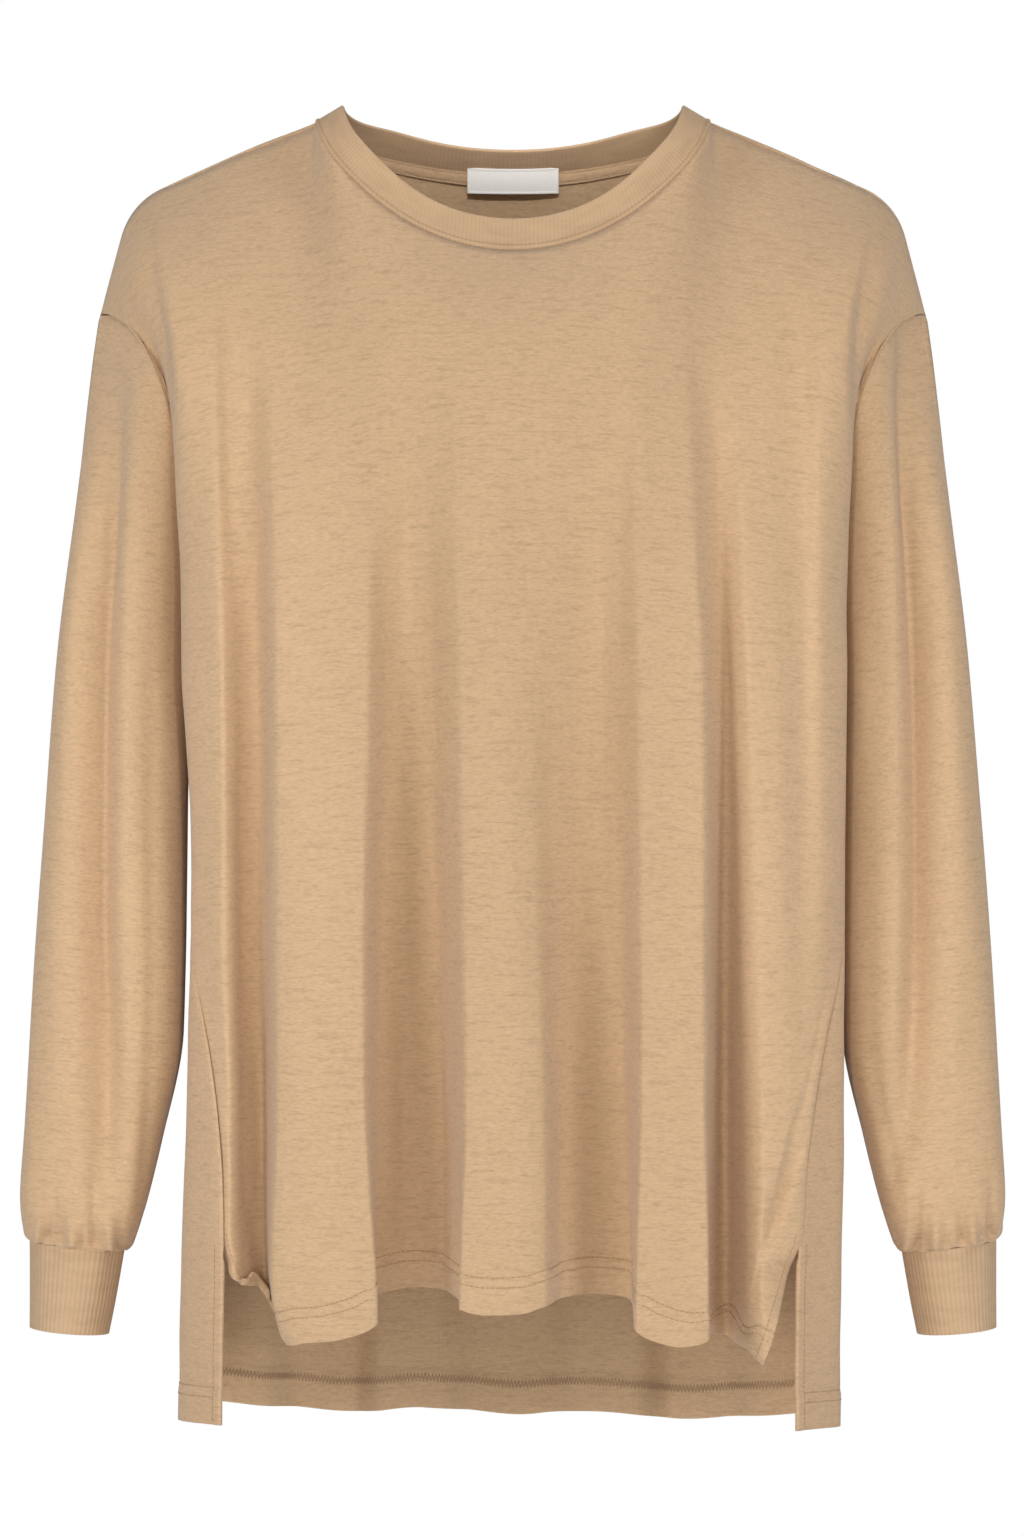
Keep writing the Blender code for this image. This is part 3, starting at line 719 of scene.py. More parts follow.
def ripple(x: np.ndarray, z: np.ndarray, seed: int, sizes: tuple[float, float]) -> np.ndarray:
    """Soft uneven waves over the cloth, from -1 to 1.

    Args:
        x: Places across.
        z: Places along.
        seed: Picks the waves.
        sizes: The waves' sizes across and along, in metres.

    Returns:
        The waves' heights.
    """
    rng = np.random.default_rng(seed)
    total = np.zeros_like(x)
    for _ in range(9):
        turn, start = rng.normal(0, 1, 2), rng.uniform(0, ROUND)
        total += np.sin(ROUND * (x / sizes[0] * turn[0] + z / sizes[1] * turn[1]) + start)
    return total / 4.5


def clear_selection() -> None:
    """Deselects everything, so that an operator acts only on what comes next."""
    bpy.ops.object.select_all(action="DESELECT")


def cloth_mesh(name: str, grid: np.ndarray, closed: bool,
               chart: np.ndarray | None = None) -> bpy.types.Object:
    """A grid primitive laid on the points of a sheet.

    Args:
        name: The piece's name.
        grid: Points in rows and columns. A closed one repeats its first column at the end.
        closed: The last column meets the first and is welded to it.
        chart: Two numbers for each point, in metres along the cloth. Worked out if left out.

    Returns:
        The object.
    """
    rows, columns = grid.shape[:2]
    clear_selection()
    bpy.ops.mesh.primitive_grid_add(x_subdivisions=columns - 1, y_subdivisions=rows - 1, size=1,
                                    location=(0, 0, 0))
    sheet = bpy.context.object
    sheet.name = sheet.data.name = name
    mesh = sheet.data
    mesh.vertices.foreach_set("co", grid.reshape(-1).astype(np.float32))
    if chart is None:
        u, v = grid_lengths(grid, 1), grid_lengths(grid, 0)
        chart = np.stack([u - u[:, columns // 2][:, None], v], axis=2)
    corners = np.zeros(len(mesh.loops), dtype=np.int32)
    mesh.loops.foreach_get("vertex_index", corners)
    spread = chart.reshape(-1, 2)[corners].reshape(-1)
    mesh.uv_layers.active.data.foreach_set("uv", spread.astype(np.float32))
    mesh.update()
    if closed:
        bpy.ops.object.mode_set(mode="EDIT")
        bpy.ops.mesh.select_all(action="SELECT")
        bpy.ops.mesh.remove_doubles(threshold=2e-5)
        bpy.ops.object.mode_set(mode="OBJECT")
    return sheet


def face_outwards(sheet: bpy.types.Object, outwards: np.ndarray, at: np.ndarray) -> None:
    """Turns a sheet's faces so that they point the way they should.

    Args:
        sheet: The sheet.
        outwards: The outward direction near one of its points.
        at: That point.
    """
    mesh = sheet.data
    centres = np.zeros(len(mesh.polygons) * 3, dtype=np.float32)
    mesh.polygons.foreach_get("center", centres)
    nearest = int(np.argmin(np.linalg.norm(centres.reshape(-1, 3) - at, axis=1)))
    if float(np.dot(np.array(mesh.polygons[nearest].normal), outwards)) < 0:
        bpy.ops.object.mode_set(mode="EDIT")
        bpy.ops.mesh.select_all(action="SELECT")
        bpy.ops.mesh.flip_normals()
        bpy.ops.object.mode_set(mode="OBJECT")


def thicken(sheet: bpy.types.Object, thickness: float, doubled: np.ndarray | None = None) -> None:
    """Gives a sheet its thickness, inwards.

    Args:
        sheet: The sheet, whose faces point outwards.
        thickness: The thickness in metres.
        doubled: For each point, 1 where the sheet is turned up and so twice as thick.
    """
    wall = sheet.modifiers.new("wall", "SOLIDIFY")
    wall.thickness, wall.offset, wall.use_even_offset = thickness, -1, False
    if doubled is not None:
        group = sheet.vertex_groups.new(name="turned_up")
        for level in range(1, 9):
            which = np.flatnonzero(np.round(doubled * 8) == level)
            if len(which):
                group.add(which.tolist(), level / 8, "REPLACE")
        wall.thickness, wall.vertex_group, wall.thickness_vertex_group = thickness * 2, group.name, 0.5
    bpy.context.view_layer.objects.active = sheet
    bpy.ops.object.modifier_apply(modifier=wall.name)
    sheet.vertex_groups.clear()


def dress(sheet: bpy.types.Object, material: bpy.types.Material, node: str = "") -> None:
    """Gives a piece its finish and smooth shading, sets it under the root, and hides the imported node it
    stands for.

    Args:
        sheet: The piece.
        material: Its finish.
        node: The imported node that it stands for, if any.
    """
    sheet.data.materials.clear()
    sheet.data.materials.append(material)
    sheet.data.shade_smooth()
    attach(sheet, "root")
    if node:
        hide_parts(node)
    LOG.info("%s: %d faces", sheet.name, len(sheet.data.polygons))


class Graph:
    """A material and short ways to add and join its nodes."""

    def __init__(self, name: str, colour: tuple[float, float, float], roughness: float, sheen: float) -> None:
        """Starts a matt cloth.

        Args:
            name: The material's name.
            colour: Its base colour.
            roughness: Its roughness.
            sheen: How strong the sheen of its fibres is.
        """
        self.material = bpy.data.materials.new(name)
        self.material.use_nodes = True
        self.tree = self.material.node_tree
        self.shader = self.tree.nodes["Principled BSDF"]
        self.shader.inputs["Base Color"].default_value = (*colour, 1)
        self.shader.inputs["Roughness"].default_value = roughness
        self.shader.inputs["Specular IOR Level"].default_value = 0.25
        self.shader.inputs["Sheen Weight"].default_value = sheen
        self.shader.inputs["Sheen Roughness"].default_value = 0.55
        self.chart = self.add("ShaderNodeTexCoord").outputs["UV"]

    def add(self, kind: str, settings: dict | None = None, **inputs: object) -> bpy.types.Node:
        """Adds a node.

        Args:
            kind: Its type.
            settings: Its own properties.
            inputs: Values or sockets for its inputs, by name, or by number after an underscore.

        Returns:
            The node.
        """
        node = self.tree.nodes.new(kind)
        for key, value in (settings or {}).items():
            setattr(node, key, value)
        for key, value in inputs.items():
            socket = node.inputs[int(key[1:])] if key[0] == "_" else node.inputs[key.replace("_", " ")]
            if isinstance(value, bpy.types.NodeSocket):
                self.tree.links.new(value, socket)
            else:
                socket.default_value = value
        return node

    def maths(self, operation: str, first: object, second: object = 0.0) -> bpy.types.NodeSocket:
        """One step of arithmetic.

        Args:
            operation: Its name.
            first: A number or a socket.
            second: A number or a socket.

        Returns:
            The result.
        """
        return self.add("ShaderNodeMath", {"operation": operation}, _0=first, _1=second).outputs[0]

    def stretched(self, across: float, along: float, shift: float = 0.0) -> bpy.types.NodeSocket:
        """The cloth's own chart, scaled.

        Args:
            across: How many units a metre is, across.
            along: The same along the cloth.
            shift: Moves the pattern.

        Returns:
            The place.
        """
        return self.add("ShaderNodeMapping", Vector=self.chart, Scale=(across, along, 1),
                        Location=(shift, shift, 0)).outputs["Vector"]

    def noise(self, across: float, along: float, detail: float = 2.0,
              shift: float = 0.0) -> bpy.types.NodeSocket:
        """Uneven patches of a size.

        Args:
            across: Patches in a metre, across.
            along: The same along the cloth.
            detail: How fine they break up.
            shift: Moves the pattern.

        Returns:
            The pattern, around 0.5.
        """
        place = self.stretched(across, along, shift)
        return self.add("ShaderNodeTexNoise", Vector=place, Scale=1.0, Detail=detail, Roughness=0.55,
                        Distortion=0.6).outputs["Fac"]

    def ramp(self, factor: bpy.types.NodeSocket,
             *stops: tuple[float, tuple[float, float, float]]) -> bpy.types.NodeSocket:
        """Colours by a pattern.

        Args:
            factor: The pattern.
            stops: Each stop's place and colour.

        Returns:
            The colour.
        """
        node = self.add("ShaderNodeValToRGB", Fac=factor)
        points = node.color_ramp.elements
        for _ in range(len(stops) - 2):
            points.new(0.5)
        for point, (place, colour) in zip(points, stops):
            point.position, point.color = place, (*colour, 1)
        return node.outputs["Color"]

    def times(self, first: bpy.types.NodeSocket, second: bpy.types.NodeSocket) -> bpy.types.NodeSocket:
        """One colour times another.

        Args:
            first: A colour.
            second: The other.

        Returns:
            The colour.
        """
        kind = {"data_type": "RGBA", "blend_type": "MULTIPLY"}
        return self.add("ShaderNodeMix", kind, _0=1.0, _6=first, _7=second).outputs[2]

    def bands(self, scale: float, distortion: float, detail: float, **inputs: float) -> bpy.types.NodeSocket:
        """Upright bands across the cloth.

        Args:
            scale: The wave texture's scale.
            distortion: How much they wander.
            detail: How finely they wander.
            inputs: Other inputs of the texture.

        Returns:
            The pattern, from 0 to 1.
        """
        kind = {"wave_type": "BANDS", "bands_direction": "X"}
        return self.add("ShaderNodeTexWave", kind, Vector=self.chart, Scale=scale, Distortion=distortion,
                        Detail=detail, **inputs).outputs["Fac"]

    def finish(self, colour: bpy.types.NodeSocket, height: bpy.types.NodeSocket, depth: float,
               roughness: bpy.types.NodeSocket) -> bpy.types.Material:
        """Joins the patterns to the shader.

        Args:
            colour: The base colour.
            height: The cloth's relief, from 0 to 1.
            depth: How deep the relief is, in metres.
            roughness: The roughness.

        Returns:
            The material.
        """
        bump = self.add("ShaderNodeBump", Strength=1.0, Distance=depth, Height=height)
        self.tree.links.new(bump.outputs["Normal"], self.shader.inputs["Normal"])
        self.tree.links.new(colour, self.shader.inputs["Base Color"])
        self.tree.links.new(roughness, self.shader.inputs["Roughness"])
        return self.material


def shade(colour: tuple[float, float, float], factor: float) -> tuple[float, float, float]:
    """The colour, lighter or darker."""
    return tuple(min(1.0, part * factor) for part in colour)


@dataclass(frozen=True)
class SlubJersey:
    """Jersey of uneven yarn, whose thick and thin places show as fine wavy streaks across it.

    Args:
        name: The material's name.
        colour: Its base colour.
        relief: How deep its relief is, in metres.
        fine: How many of the finest streaks a metre holds, across the cloth and along it.
        long: The same of the longer ones.
        broad: The same of its faintest, broadest patches.
        wales: The scale of its upright wales.
    """

    name: str = "slub_jersey"
    colour: tuple[float, float, float] = (0.585, 0.393, 0.229)
    relief: float = 0.00045
    fine: tuple[float, float] = (250, 860)
    long: tuple[float, float] = (62, 380)
    broad: tuple[float, float] = (9, 40)
    wales: float = 176.0

    def make(self) -> bpy.types.Material:
        """Makes the material.

        Returns:
            The material.
        """
        g = Graph(self.name, self.colour, 0.9, 0.22)
        fine = g.noise(*self.fine, 4.0)
        long = g.noise(*self.long, 4.0, 7.0)
        broad = g.noise(*self.broad, 2.0, 3.0)
        thin, thick = shade(self.colour, 0.87), shade(self.colour, 1.1)
        colour = g.ramp(fine, (0.3, thin), (0.5, self.colour), (0.7, thick))
        streaks = g.ramp(long, (0.32, (0.895, 0.885, 0.87)), (0.47, (1, 1, 1)), (0.7, (1.04, 1.04, 1.045)))
        colour = g.times(colour, streaks)
        colour = g.times(colour, g.ramp(broad, (0.3, (0.98, 0.977, 0.973)), (0.7, (1, 1, 1))))
        wales = g.bands(self.wales, 0.6, 1.0)
        relief = g.maths("ADD", g.maths("MULTIPLY", fine, 0.7), g.maths("MULTIPLY", wales, 0.12))
        relief = g.maths("ADD", relief, g.maths("MULTIPLY", long, 0.5))
        roughness = g.maths("ADD", g.maths("MULTIPLY", fine, 0.15), 0.8)
        return g.finish(colour, relief, self.relief, roughness)


@dataclass(frozen=True)
class RibKnit:
    """Rib knit, with fine upright ribs, and painted shade that darkens the grooves between them.

    Args:
        name: The material's name.
        pitch: How wide a rib is. The groove beside it is as wide.
        colour: Its base colour.
        relief: How deep the ribs are, in metres.
        groove_shade: How much darker painted shade makes the grooves.
        courses: How many of its courses a metre holds, across the cloth and along it.
        heather: The same of the uneven patches in its colour.
    """

    name: str
    pitch: float
    colour: tuple[float, float, float] = (0.56, 0.375, 0.22)
    relief: float = 0.0004
    groove_shade: float = 0.12
    courses: tuple[float, float] = (240, 1500)
    heather: tuple[float, float] = (40, 160)

    def make(self) -> bpy.types.Material:
        """Makes the material.

        Returns:
            The material.
        """
        g = Graph(self.name, self.colour, 0.92, 0.12)
        ribs = g.bands(WAVE_BAND / (2 * self.pitch), 0.9, 2.0, Detail_Scale=1.5)
        courses = g.noise(*self.courses, 2.0)
        heather = g.noise(*self.heather, 3.0, 5.0)
        # Painted shade: the grooves are coloured darker, and the crowns a little lighter as painted light,
        # over the ribs' relief.
        groove, crown = shade(self.colour, 1 - self.groove_shade), shade(self.colour, 1.02)
        colour = g.ramp(ribs, (0.0, groove), (0.6, self.colour), (1.0, crown))
        colour = g.times(colour, g.ramp(heather, (0.3, (0.9, 0.89, 0.88)), (0.6, (1, 1, 1))))
        relief = g.maths("ADD", ribs, g.maths("MULTIPLY", courses, 0.4))
        roughness = g.maths("ADD", g.maths("MULTIPLY", courses, 0.12), 0.84)
        return g.finish(colour, relief, self.relief, roughness)


@dataclass(frozen=True)
class WovenLabel:
    """A smooth woven label, off-white."""

    name: str = "woven_label"
    colour: tuple[float, float, float] = (0.92, 0.895, 0.85)

    def make(self) -> bpy.types.Material:
        """Makes the material.

        Returns:
            The material.
        """
        g = Graph(self.name, self.colour, 0.7, 0.1)
        threads = g.noise(2600, 500, 1.0)
        picks = g.noise(300, 3200, 1.0, 4.0)
        both = g.maths("ADD", g.maths("MULTIPLY", threads, 0.5), g.maths("MULTIPLY", picks, 0.5))
        colour = g.ramp(both, (0.3, shade(self.colour, 0.93)), (0.65, self.colour))
        roughness = g.maths("ADD", g.maths("MULTIPLY", threads, 0.15), 0.6)
        return g.finish(colour, both, 0.00006, roughness)


@dataclass(frozen=True)
class SewingThread:
    """Matt polyester thread in the cloth's colour."""

    name: str
    colour: tuple[float, float, float]

    def make(self) -> bpy.types.Material:
        """Makes the material.

        Returns:
            The material.
        """
        g = Graph(self.name, self.colour, 0.6, 0.05)
        place = g.add("ShaderNodeTexCoord").outputs["Object"]
        twist = g.add("ShaderNodeTexNoise", Vector=place, Scale=2400.0, Detail=1.0).outputs["Fac"]
        colour = g.ramp(twist, (0.3, shade(self.colour, 0.85)), (0.7, shade(self.colour, 1.08)))
        return g.finish(colour, twist, 0.00005, g.maths("ADD", g.maths("MULTIPLY", twist, 0.2), 0.5))


@dataclass(frozen=True)
class Finishes:
    """Every finish of the shirt, made once."""

    jersey: bpy.types.Material
    cuff_rib: bpy.types.Material
    neck_rib: bpy.types.Material
    label: bpy.types.Material
    thread: bpy.types.Material

    @classmethod
    def make(cls) -> Finishes:
        """Makes them all.

        Returns:
            The finishes.
        """
        return cls(
            jersey=SlubJersey().make(),
            # The ribs' painted shade in their grooves: 0.07 on the cuffs, 0.04 on the neck.
            cuff_rib=RibKnit("cuff_rib", 0.0015, (0.57, 0.39, 0.235), 0.00022, 0.07).make(),
            neck_rib=RibKnit("neck_rib", 0.0012, relief=0.00012, groove_shade=0.04).make(),
            label=WovenLabel().make(),
            thread=SewingThread("tan_thread", (0.44, 0.285, 0.16)).make(),
        )


def place_to_pixel(places: np.ndarray) -> tuple[np.ndarray, np.ndarray]:
    """Where places show in the photograph's frame.

    Args:
        places: Places on the shirt.

    Returns:
        Their pixel columns and rows.
    """
    scale = METRES_PER_PIXEL * (EYE_DISTANCE + places[..., 1]) / EYE_DISTANCE
    return CENTRE_PIXEL + places[..., 0] / scale, EYE_PIXEL - (places[..., 2] - EYE_HEIGHT) / scale


def creased(places: np.ndarray, creases: tuple) -> np.ndarray:
    """How deep the creases are that run past places.

    Args:
        places: Places on the shirt.
        creases: For each, pixel rows, pixel columns, millimetres deep at each row, and how wide in
            pixels towards the arm's outside and towards the middle.

    Returns:
        Metres at each place.
    """
    column, row = place_to_pixel(places)
    total = np.zeros_like(column)
    for rows, columns, deep, (outer, inner) in creases:
        rows = np.array(rows, float)
        inside = row.clip(rows[0], rows[-1])
        gap = column - even_curve(rows, np.array(columns, float), inside.ravel()).reshape(row.shape)
        gap = gap / np.where(gap * np.sign(places[..., 0]) > 0, outer, inner)
        amount = even_curve(rows, np.array(deep, float), inside.ravel()).reshape(row.shape)
        total += amount / 1000 * np.exp(-(gap**2))
    return total


def settled(points: np.ndarray) -> np.ndarray:
    """Lowers the cloth a little round the neck's ends of the shoulder seams.

    Args:
        points: Places on the shirt.

    Returns:
        The places, lowered.
    """
    out = points.copy()
    near = np.exp(-(((np.abs(points[..., 0]) - 0.113) / 0.03) ** 2))
    out[..., 2] -= 0.0027 * near * smooth((points[..., 2] + 0.06) / 0.05)
    return out


@dataclass
class BodyPanel:
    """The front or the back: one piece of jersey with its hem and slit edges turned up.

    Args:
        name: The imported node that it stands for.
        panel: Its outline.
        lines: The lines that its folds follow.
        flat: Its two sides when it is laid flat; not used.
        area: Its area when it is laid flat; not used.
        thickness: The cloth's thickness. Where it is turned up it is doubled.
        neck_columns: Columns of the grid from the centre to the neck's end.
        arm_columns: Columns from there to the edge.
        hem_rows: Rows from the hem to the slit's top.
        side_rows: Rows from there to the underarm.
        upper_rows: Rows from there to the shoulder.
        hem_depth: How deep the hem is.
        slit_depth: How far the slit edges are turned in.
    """

    name: str
    panel: Panel
    lines: tuple
    flat: tuple[float, float]
    area: float
    thickness: float = 0.0011
    neck_columns: int = 62
    arm_columns: int = 92
    hem_rows: int = 46
    side_rows: int = 50
    upper_rows: int = 34
    hem_depth: float = 0.022
    slit_depth: float = 0.009
    grid: np.ndarray = field(init=False)
    normals: np.ndarray = field(init=False)

    def shares(self) -> np.ndarray:
        """Where half the columns lie, closer together towards the edge.

        Returns:
            0 at the centre and 1 at the edge.
        """
        neck = np.linspace(0, NECK_SHARE, self.neck_columns + 1)
        u = np.linspace(0, 1, self.arm_columns + 1)[1:]
        return np.concatenate([neck, NECK_SHARE + (1 - NECK_SHARE) * (u + 0.11 * np.sin(math.pi * u) * u)])

    def hem_heights(self, across: np.ndarray, x: np.ndarray) -> np.ndarray:
        """The hem's height along the cloth.

        Args:
            across: How far along the cloth each column is from the centre.
            x: Where it is.

        Returns:
            The heights.
        """
        hem = read(self.panel.hem, "z", across, by="across")
        if self.panel is FRONT:
            pixels = np.array([p for p, _ in FRONT_HEM], float)
            rows = pixel_to_place(np.array([r for _, r in FRONT_HEM], float), HEM_Y, upright=True)
            places = pixel_to_place(pixels, -FOLD_DEPTH)
            inside = (x > places[0]) & (x < places[-1])
            share = smooth(np.minimum(x - places[0], places[-1] - x) / 0.012)
            hem = np.where(inside, hem + (even_curve(places, rows, x) - hem) * share, hem)
        return hem

    def base(self) -> np.ndarray:
        """The form with no folds.

        Returns:
            Points in rows, from the hem up.
        """
        half = self.shares()
        shares = np.concatenate([half[:0:-1], half])
        hand = np.repeat((-1, 1), (len(half) - 1, len(half)))
        widest = row_width(self.panel, self.panel.hem["z"][0])
        low = low_row(self.panel, SLIT_TOP - 0.04, shares)
        hem = self.hem_heights(shares * hand * widest, low[:, 0] * hand)
        steps = np.linspace(0, 1, self.hem_rows + 1) ** 1.25
        levels = [hem + (SLIT_TOP - hem) * step for step in steps]
        grid = []
        bands = np.linspace(-0.78, SLIT_TOP, 25)
        sections = np.array([low_row(self.panel, height, shares) for height in bands])
        for z in levels:
            place = np.clip((z - bands[0]) / (bands[1] - bands[0]), 0, len(bands) - 1.001)
            i, part = place.astype(int), (place % 1)[:, None]
            column = np.arange(len(shares))
            flat = sections[i, column] * (1 - part) + sections[i + 1, column] * part
            grid.append(np.stack([flat[:, 0] * hand + read(BODY, "sway", z), flat[:, 1], z], axis=1))
        for height in np.linspace(SLIT_TOP, UNDERARM, self.side_rows + 1)[1:-1]:
            flat = low_row(self.panel, height, shares)
            sway = read(BODY, "sway", height)
            level = flat[:, 0] * hand + sway, flat[:, 1], np.full_like(shares, height)
            grid.append(np.stack(level, axis=1))
        start = flat_turn(self.panel)
        for turn in np.linspace(math.pi / 2, 0, self.upper_rows + 1):
            if turn >= start:
                flat = armhole_row(self.panel, turn, shares)
                points = np.column_stack([flat, np.full(len(flat), armhole(self.panel.sign, turn)[2])])
            else:
                points = upper_row(self.panel, turn, shares)
            grid.append(points * np.stack([hand, hand**2, hand**2], axis=1))
        return settled(self.relaxed(np.array(grid)))

    def relaxed(self, grid: np.ndarray) -> np.ndarray:
        """The form with the corner below the neck's end of the shoulder seam smoothed out.

        Args:
            grid: The form.

        Returns:
            The form, smoother there.
        """
        rows, columns = grid.shape[:2]
        row = np.arange(rows)[:, None] - self.hem_rows - self.side_rows
        column = np.abs(np.arange(columns) - columns // 2)[None]
        weight = smooth((row + 4) / 14.0) * np.exp(-(((column - self.neck_columns) / 40.0) ** 2))
        weight[-1] = weight[:, 0] = weight[:, -1] = 0
        for _ in range(420):
            middle = (grid[:-2, 1:-1] + grid[2:, 1:-1] + grid[1:-1, :-2] + grid[1:-1, 2:]) / 4
            grid[1:-1, 1:-1] += (middle - grid[1:-1, 1:-1]) * weight[1:-1, 1:-1, None] * 0.8
        return grid

    def folded(self, grid: np.ndarray) -> np.ndarray:
        """The form with its folds.

        Args:
            grid: The form with none.

        Returns:
            The folded grid.
        """
        out = grid.copy()
        heights = np.array((*FOLD_HEIGHTS, ABOVE_FOLDS))
        depth = FOLD_DEPTH * self.panel.sign
        columns = np.array([(*line[0], line[0][-1]) for line in self.lines], float)
        places = pixel_to_place(columns, depth)
        depths = np.array([[*line[1], 0] for line in self.lines]) / 1000
        leans = np.array([line[2] for line in self.lines]) / 1000
        for i, row in enumerate(grid):
            z = float(np.mean(row[:, 2]))
            at = np.array([even_curve(heights, line, np.array([z]))[0] for line in places])
            stand = np.array([even_curve(heights, line, np.array([z]))[0] for line in depths])
            x = row[:, 0]
            front = smooth((np.abs(row[:, 1]) - 0.045) / 0.03)
            lean = leans * float(smooth((-0.56 - z) / 0.12))
            shift = even_curve(at, stand, np.clip(x, at[0], at[-1])) * front
            out[i, :, 1] += self.panel.sign * shift
            out[i, :, 0] += even_curve(at, lean, np.clip(x, at[0], at[-1])) * front
        if self.panel is FRONT:
            column, row = place_to_pixel(grid)
            across = grid_lengths(grid, 1)
            edge = np.minimum(across, across[:, -1:] - across)
            out[..., 1] += creased(grid, FRONT_CREASES) * smooth(edge / 0.014)
            self.curl_slits(out, column, row, edge)
        return out

    def curl_slits(self, out: np.ndarray, column: np.ndarray, row: np.ndarray, edge: np.ndarray) -> None:
        """Curls the edges of the slits in and back.

        Args:
            out: The grid, which is changed.
            column: Each point's pixel column in the photograph's frame.
            row: Its pixel row.
            edge: How far it is from the panel's edge.
        """
        reach = 0.034
        columns = np.arange(out.shape[1])
        for (shares, across, down), side in zip(SLIT_EDGES, (0, -1)):
            half = columns < len(columns) // 2 if side == 0 else columns > len(columns) // 2
            top = EYE_PIXEL - (SLIT_TOP - EYE_HEIGHT) / METRES_PER_PIXEL
            share = (row[:, side] - top) / (row[0, side] - top)
            fade = smooth(share / 0.1)
            keys, share = np.array(shares), share.clip(0, 1)
            right = (even_curve(keys, np.array(across, float), share) - column[:, side]) * fade
            lower = (even_curve(keys, np.array(down, float), share) - row[:, side]) * fade
            weight = np.where(half[None], (1 - np.clip(edge / reach, 0, 1)) ** 1.6, 0)
            out[..., 0] += weight * right[:, None] * METRES_PER_PIXEL
            out[..., 2] -= weight**2 * lower[:, None] * METRES_PER_PIXEL
            out[..., 1] += weight**2 * np.abs(right)[:, None] * METRES_PER_PIXEL * 0.9

    def waves(self) -> None:
        """Adds soft uneven waves, the groove at each seam and the turned-up hem."""
        x, z = self.grid[..., 0], self.grid[..., 2]
        wave = 0.0007 * ripple(x, z, 3 + self.panel.sign, (0.09, 0.5))
        wave = wave + 0.0003 * ripple(x, z, 9, (0.05, 0.12))
        across = grid_lengths(self.grid, 1)
        edge = np.minimum(across, across[:, -1:] - across)
        top = grid_lengths(self.grid[::-1], 0)[::-1]
        seam = np.where(z > SLIT_TOP, np.exp(-((edge / SEAM_REACH) ** 2)), 0)
        neck = np.abs(np.arange(x.shape[1]) - x.shape[1] // 2) <= self.neck_columns
        seam = np.maximum(seam, np.where(neck, 0.4, 1) * np.exp(-((top / SEAM_REACH) ** 2)))
        calm = smooth(edge / CALM) * np.where(neck, smooth(top / CALM), 1)
        up = grid_lengths(self.grid, 0)
        turned = smooth((self.hem_depth - up) / 0.002) * 0.0005
        sewn = -0.0004 * np.exp(-(((up - self.hem_depth + 0.001) / 0.0012) ** 2))
        shift = wave * calm - SEAM_GROOVE * seam + turned + sewn
        self.grid = self.grid + self.normals * shift[..., None]

    def build(self, finishes: Finishes) -> bpy.types.Object:
        """Builds the panel.

        Args:
            finishes: The shirt's finishes.

        Returns:
            The piece.
        """
        base = self.base()
        self.grid = self.folded(base)
        self.normals = grid_normals(self.grid, -self.panel.sign, False)
        self.waves()
        self.normals = grid_normals(self.grid, -self.panel.sign, False)
        u = grid_lengths(self.grid, 1)
        v = grid_lengths(base, 0)
        chart = np.stack([u - u[:, u.shape[1] // 2][:, None], v - v[self.hem_rows]], axis=2)
        sheet = cloth_mesh(f"{self.name}_cloth", self.grid, False, chart)
        middle = (self.hem_rows + 20, self.grid.shape[1] // 2)
        face_outwards(sheet, self.normals[middle], self.grid[middle])
        up = grid_lengths(self.grid, 0)
        across = grid_lengths(self.grid, 1)
        edge = np.minimum(across, across[:, -1:] - across)
        slit = smooth((self.slit_depth - edge) / 0.0015) * smooth((SLIT_TOP - self.grid[..., 2]) / 0.004)
        hem = smooth((self.hem_depth + 0.0015 - up) / 0.0015)
        thicken(sheet, self.thickness, np.maximum(hem, slit).reshape(-1))
        dress(sheet, finishes.jersey, self.name)
        size = grid_lengths(self.grid, 1).max(), grid_lengths(self.grid, 0).max()
        a, b, c = self.grid[:-1, :-1], self.grid[:-1, 1:], self.grid[1:, :-1]
        LOG.info("%s: %.3f by %.3f m, area %.4f", self.name, *size,
                 np.linalg.norm(np.cross(b - a, c - a), axis=2).sum())
        return sheet


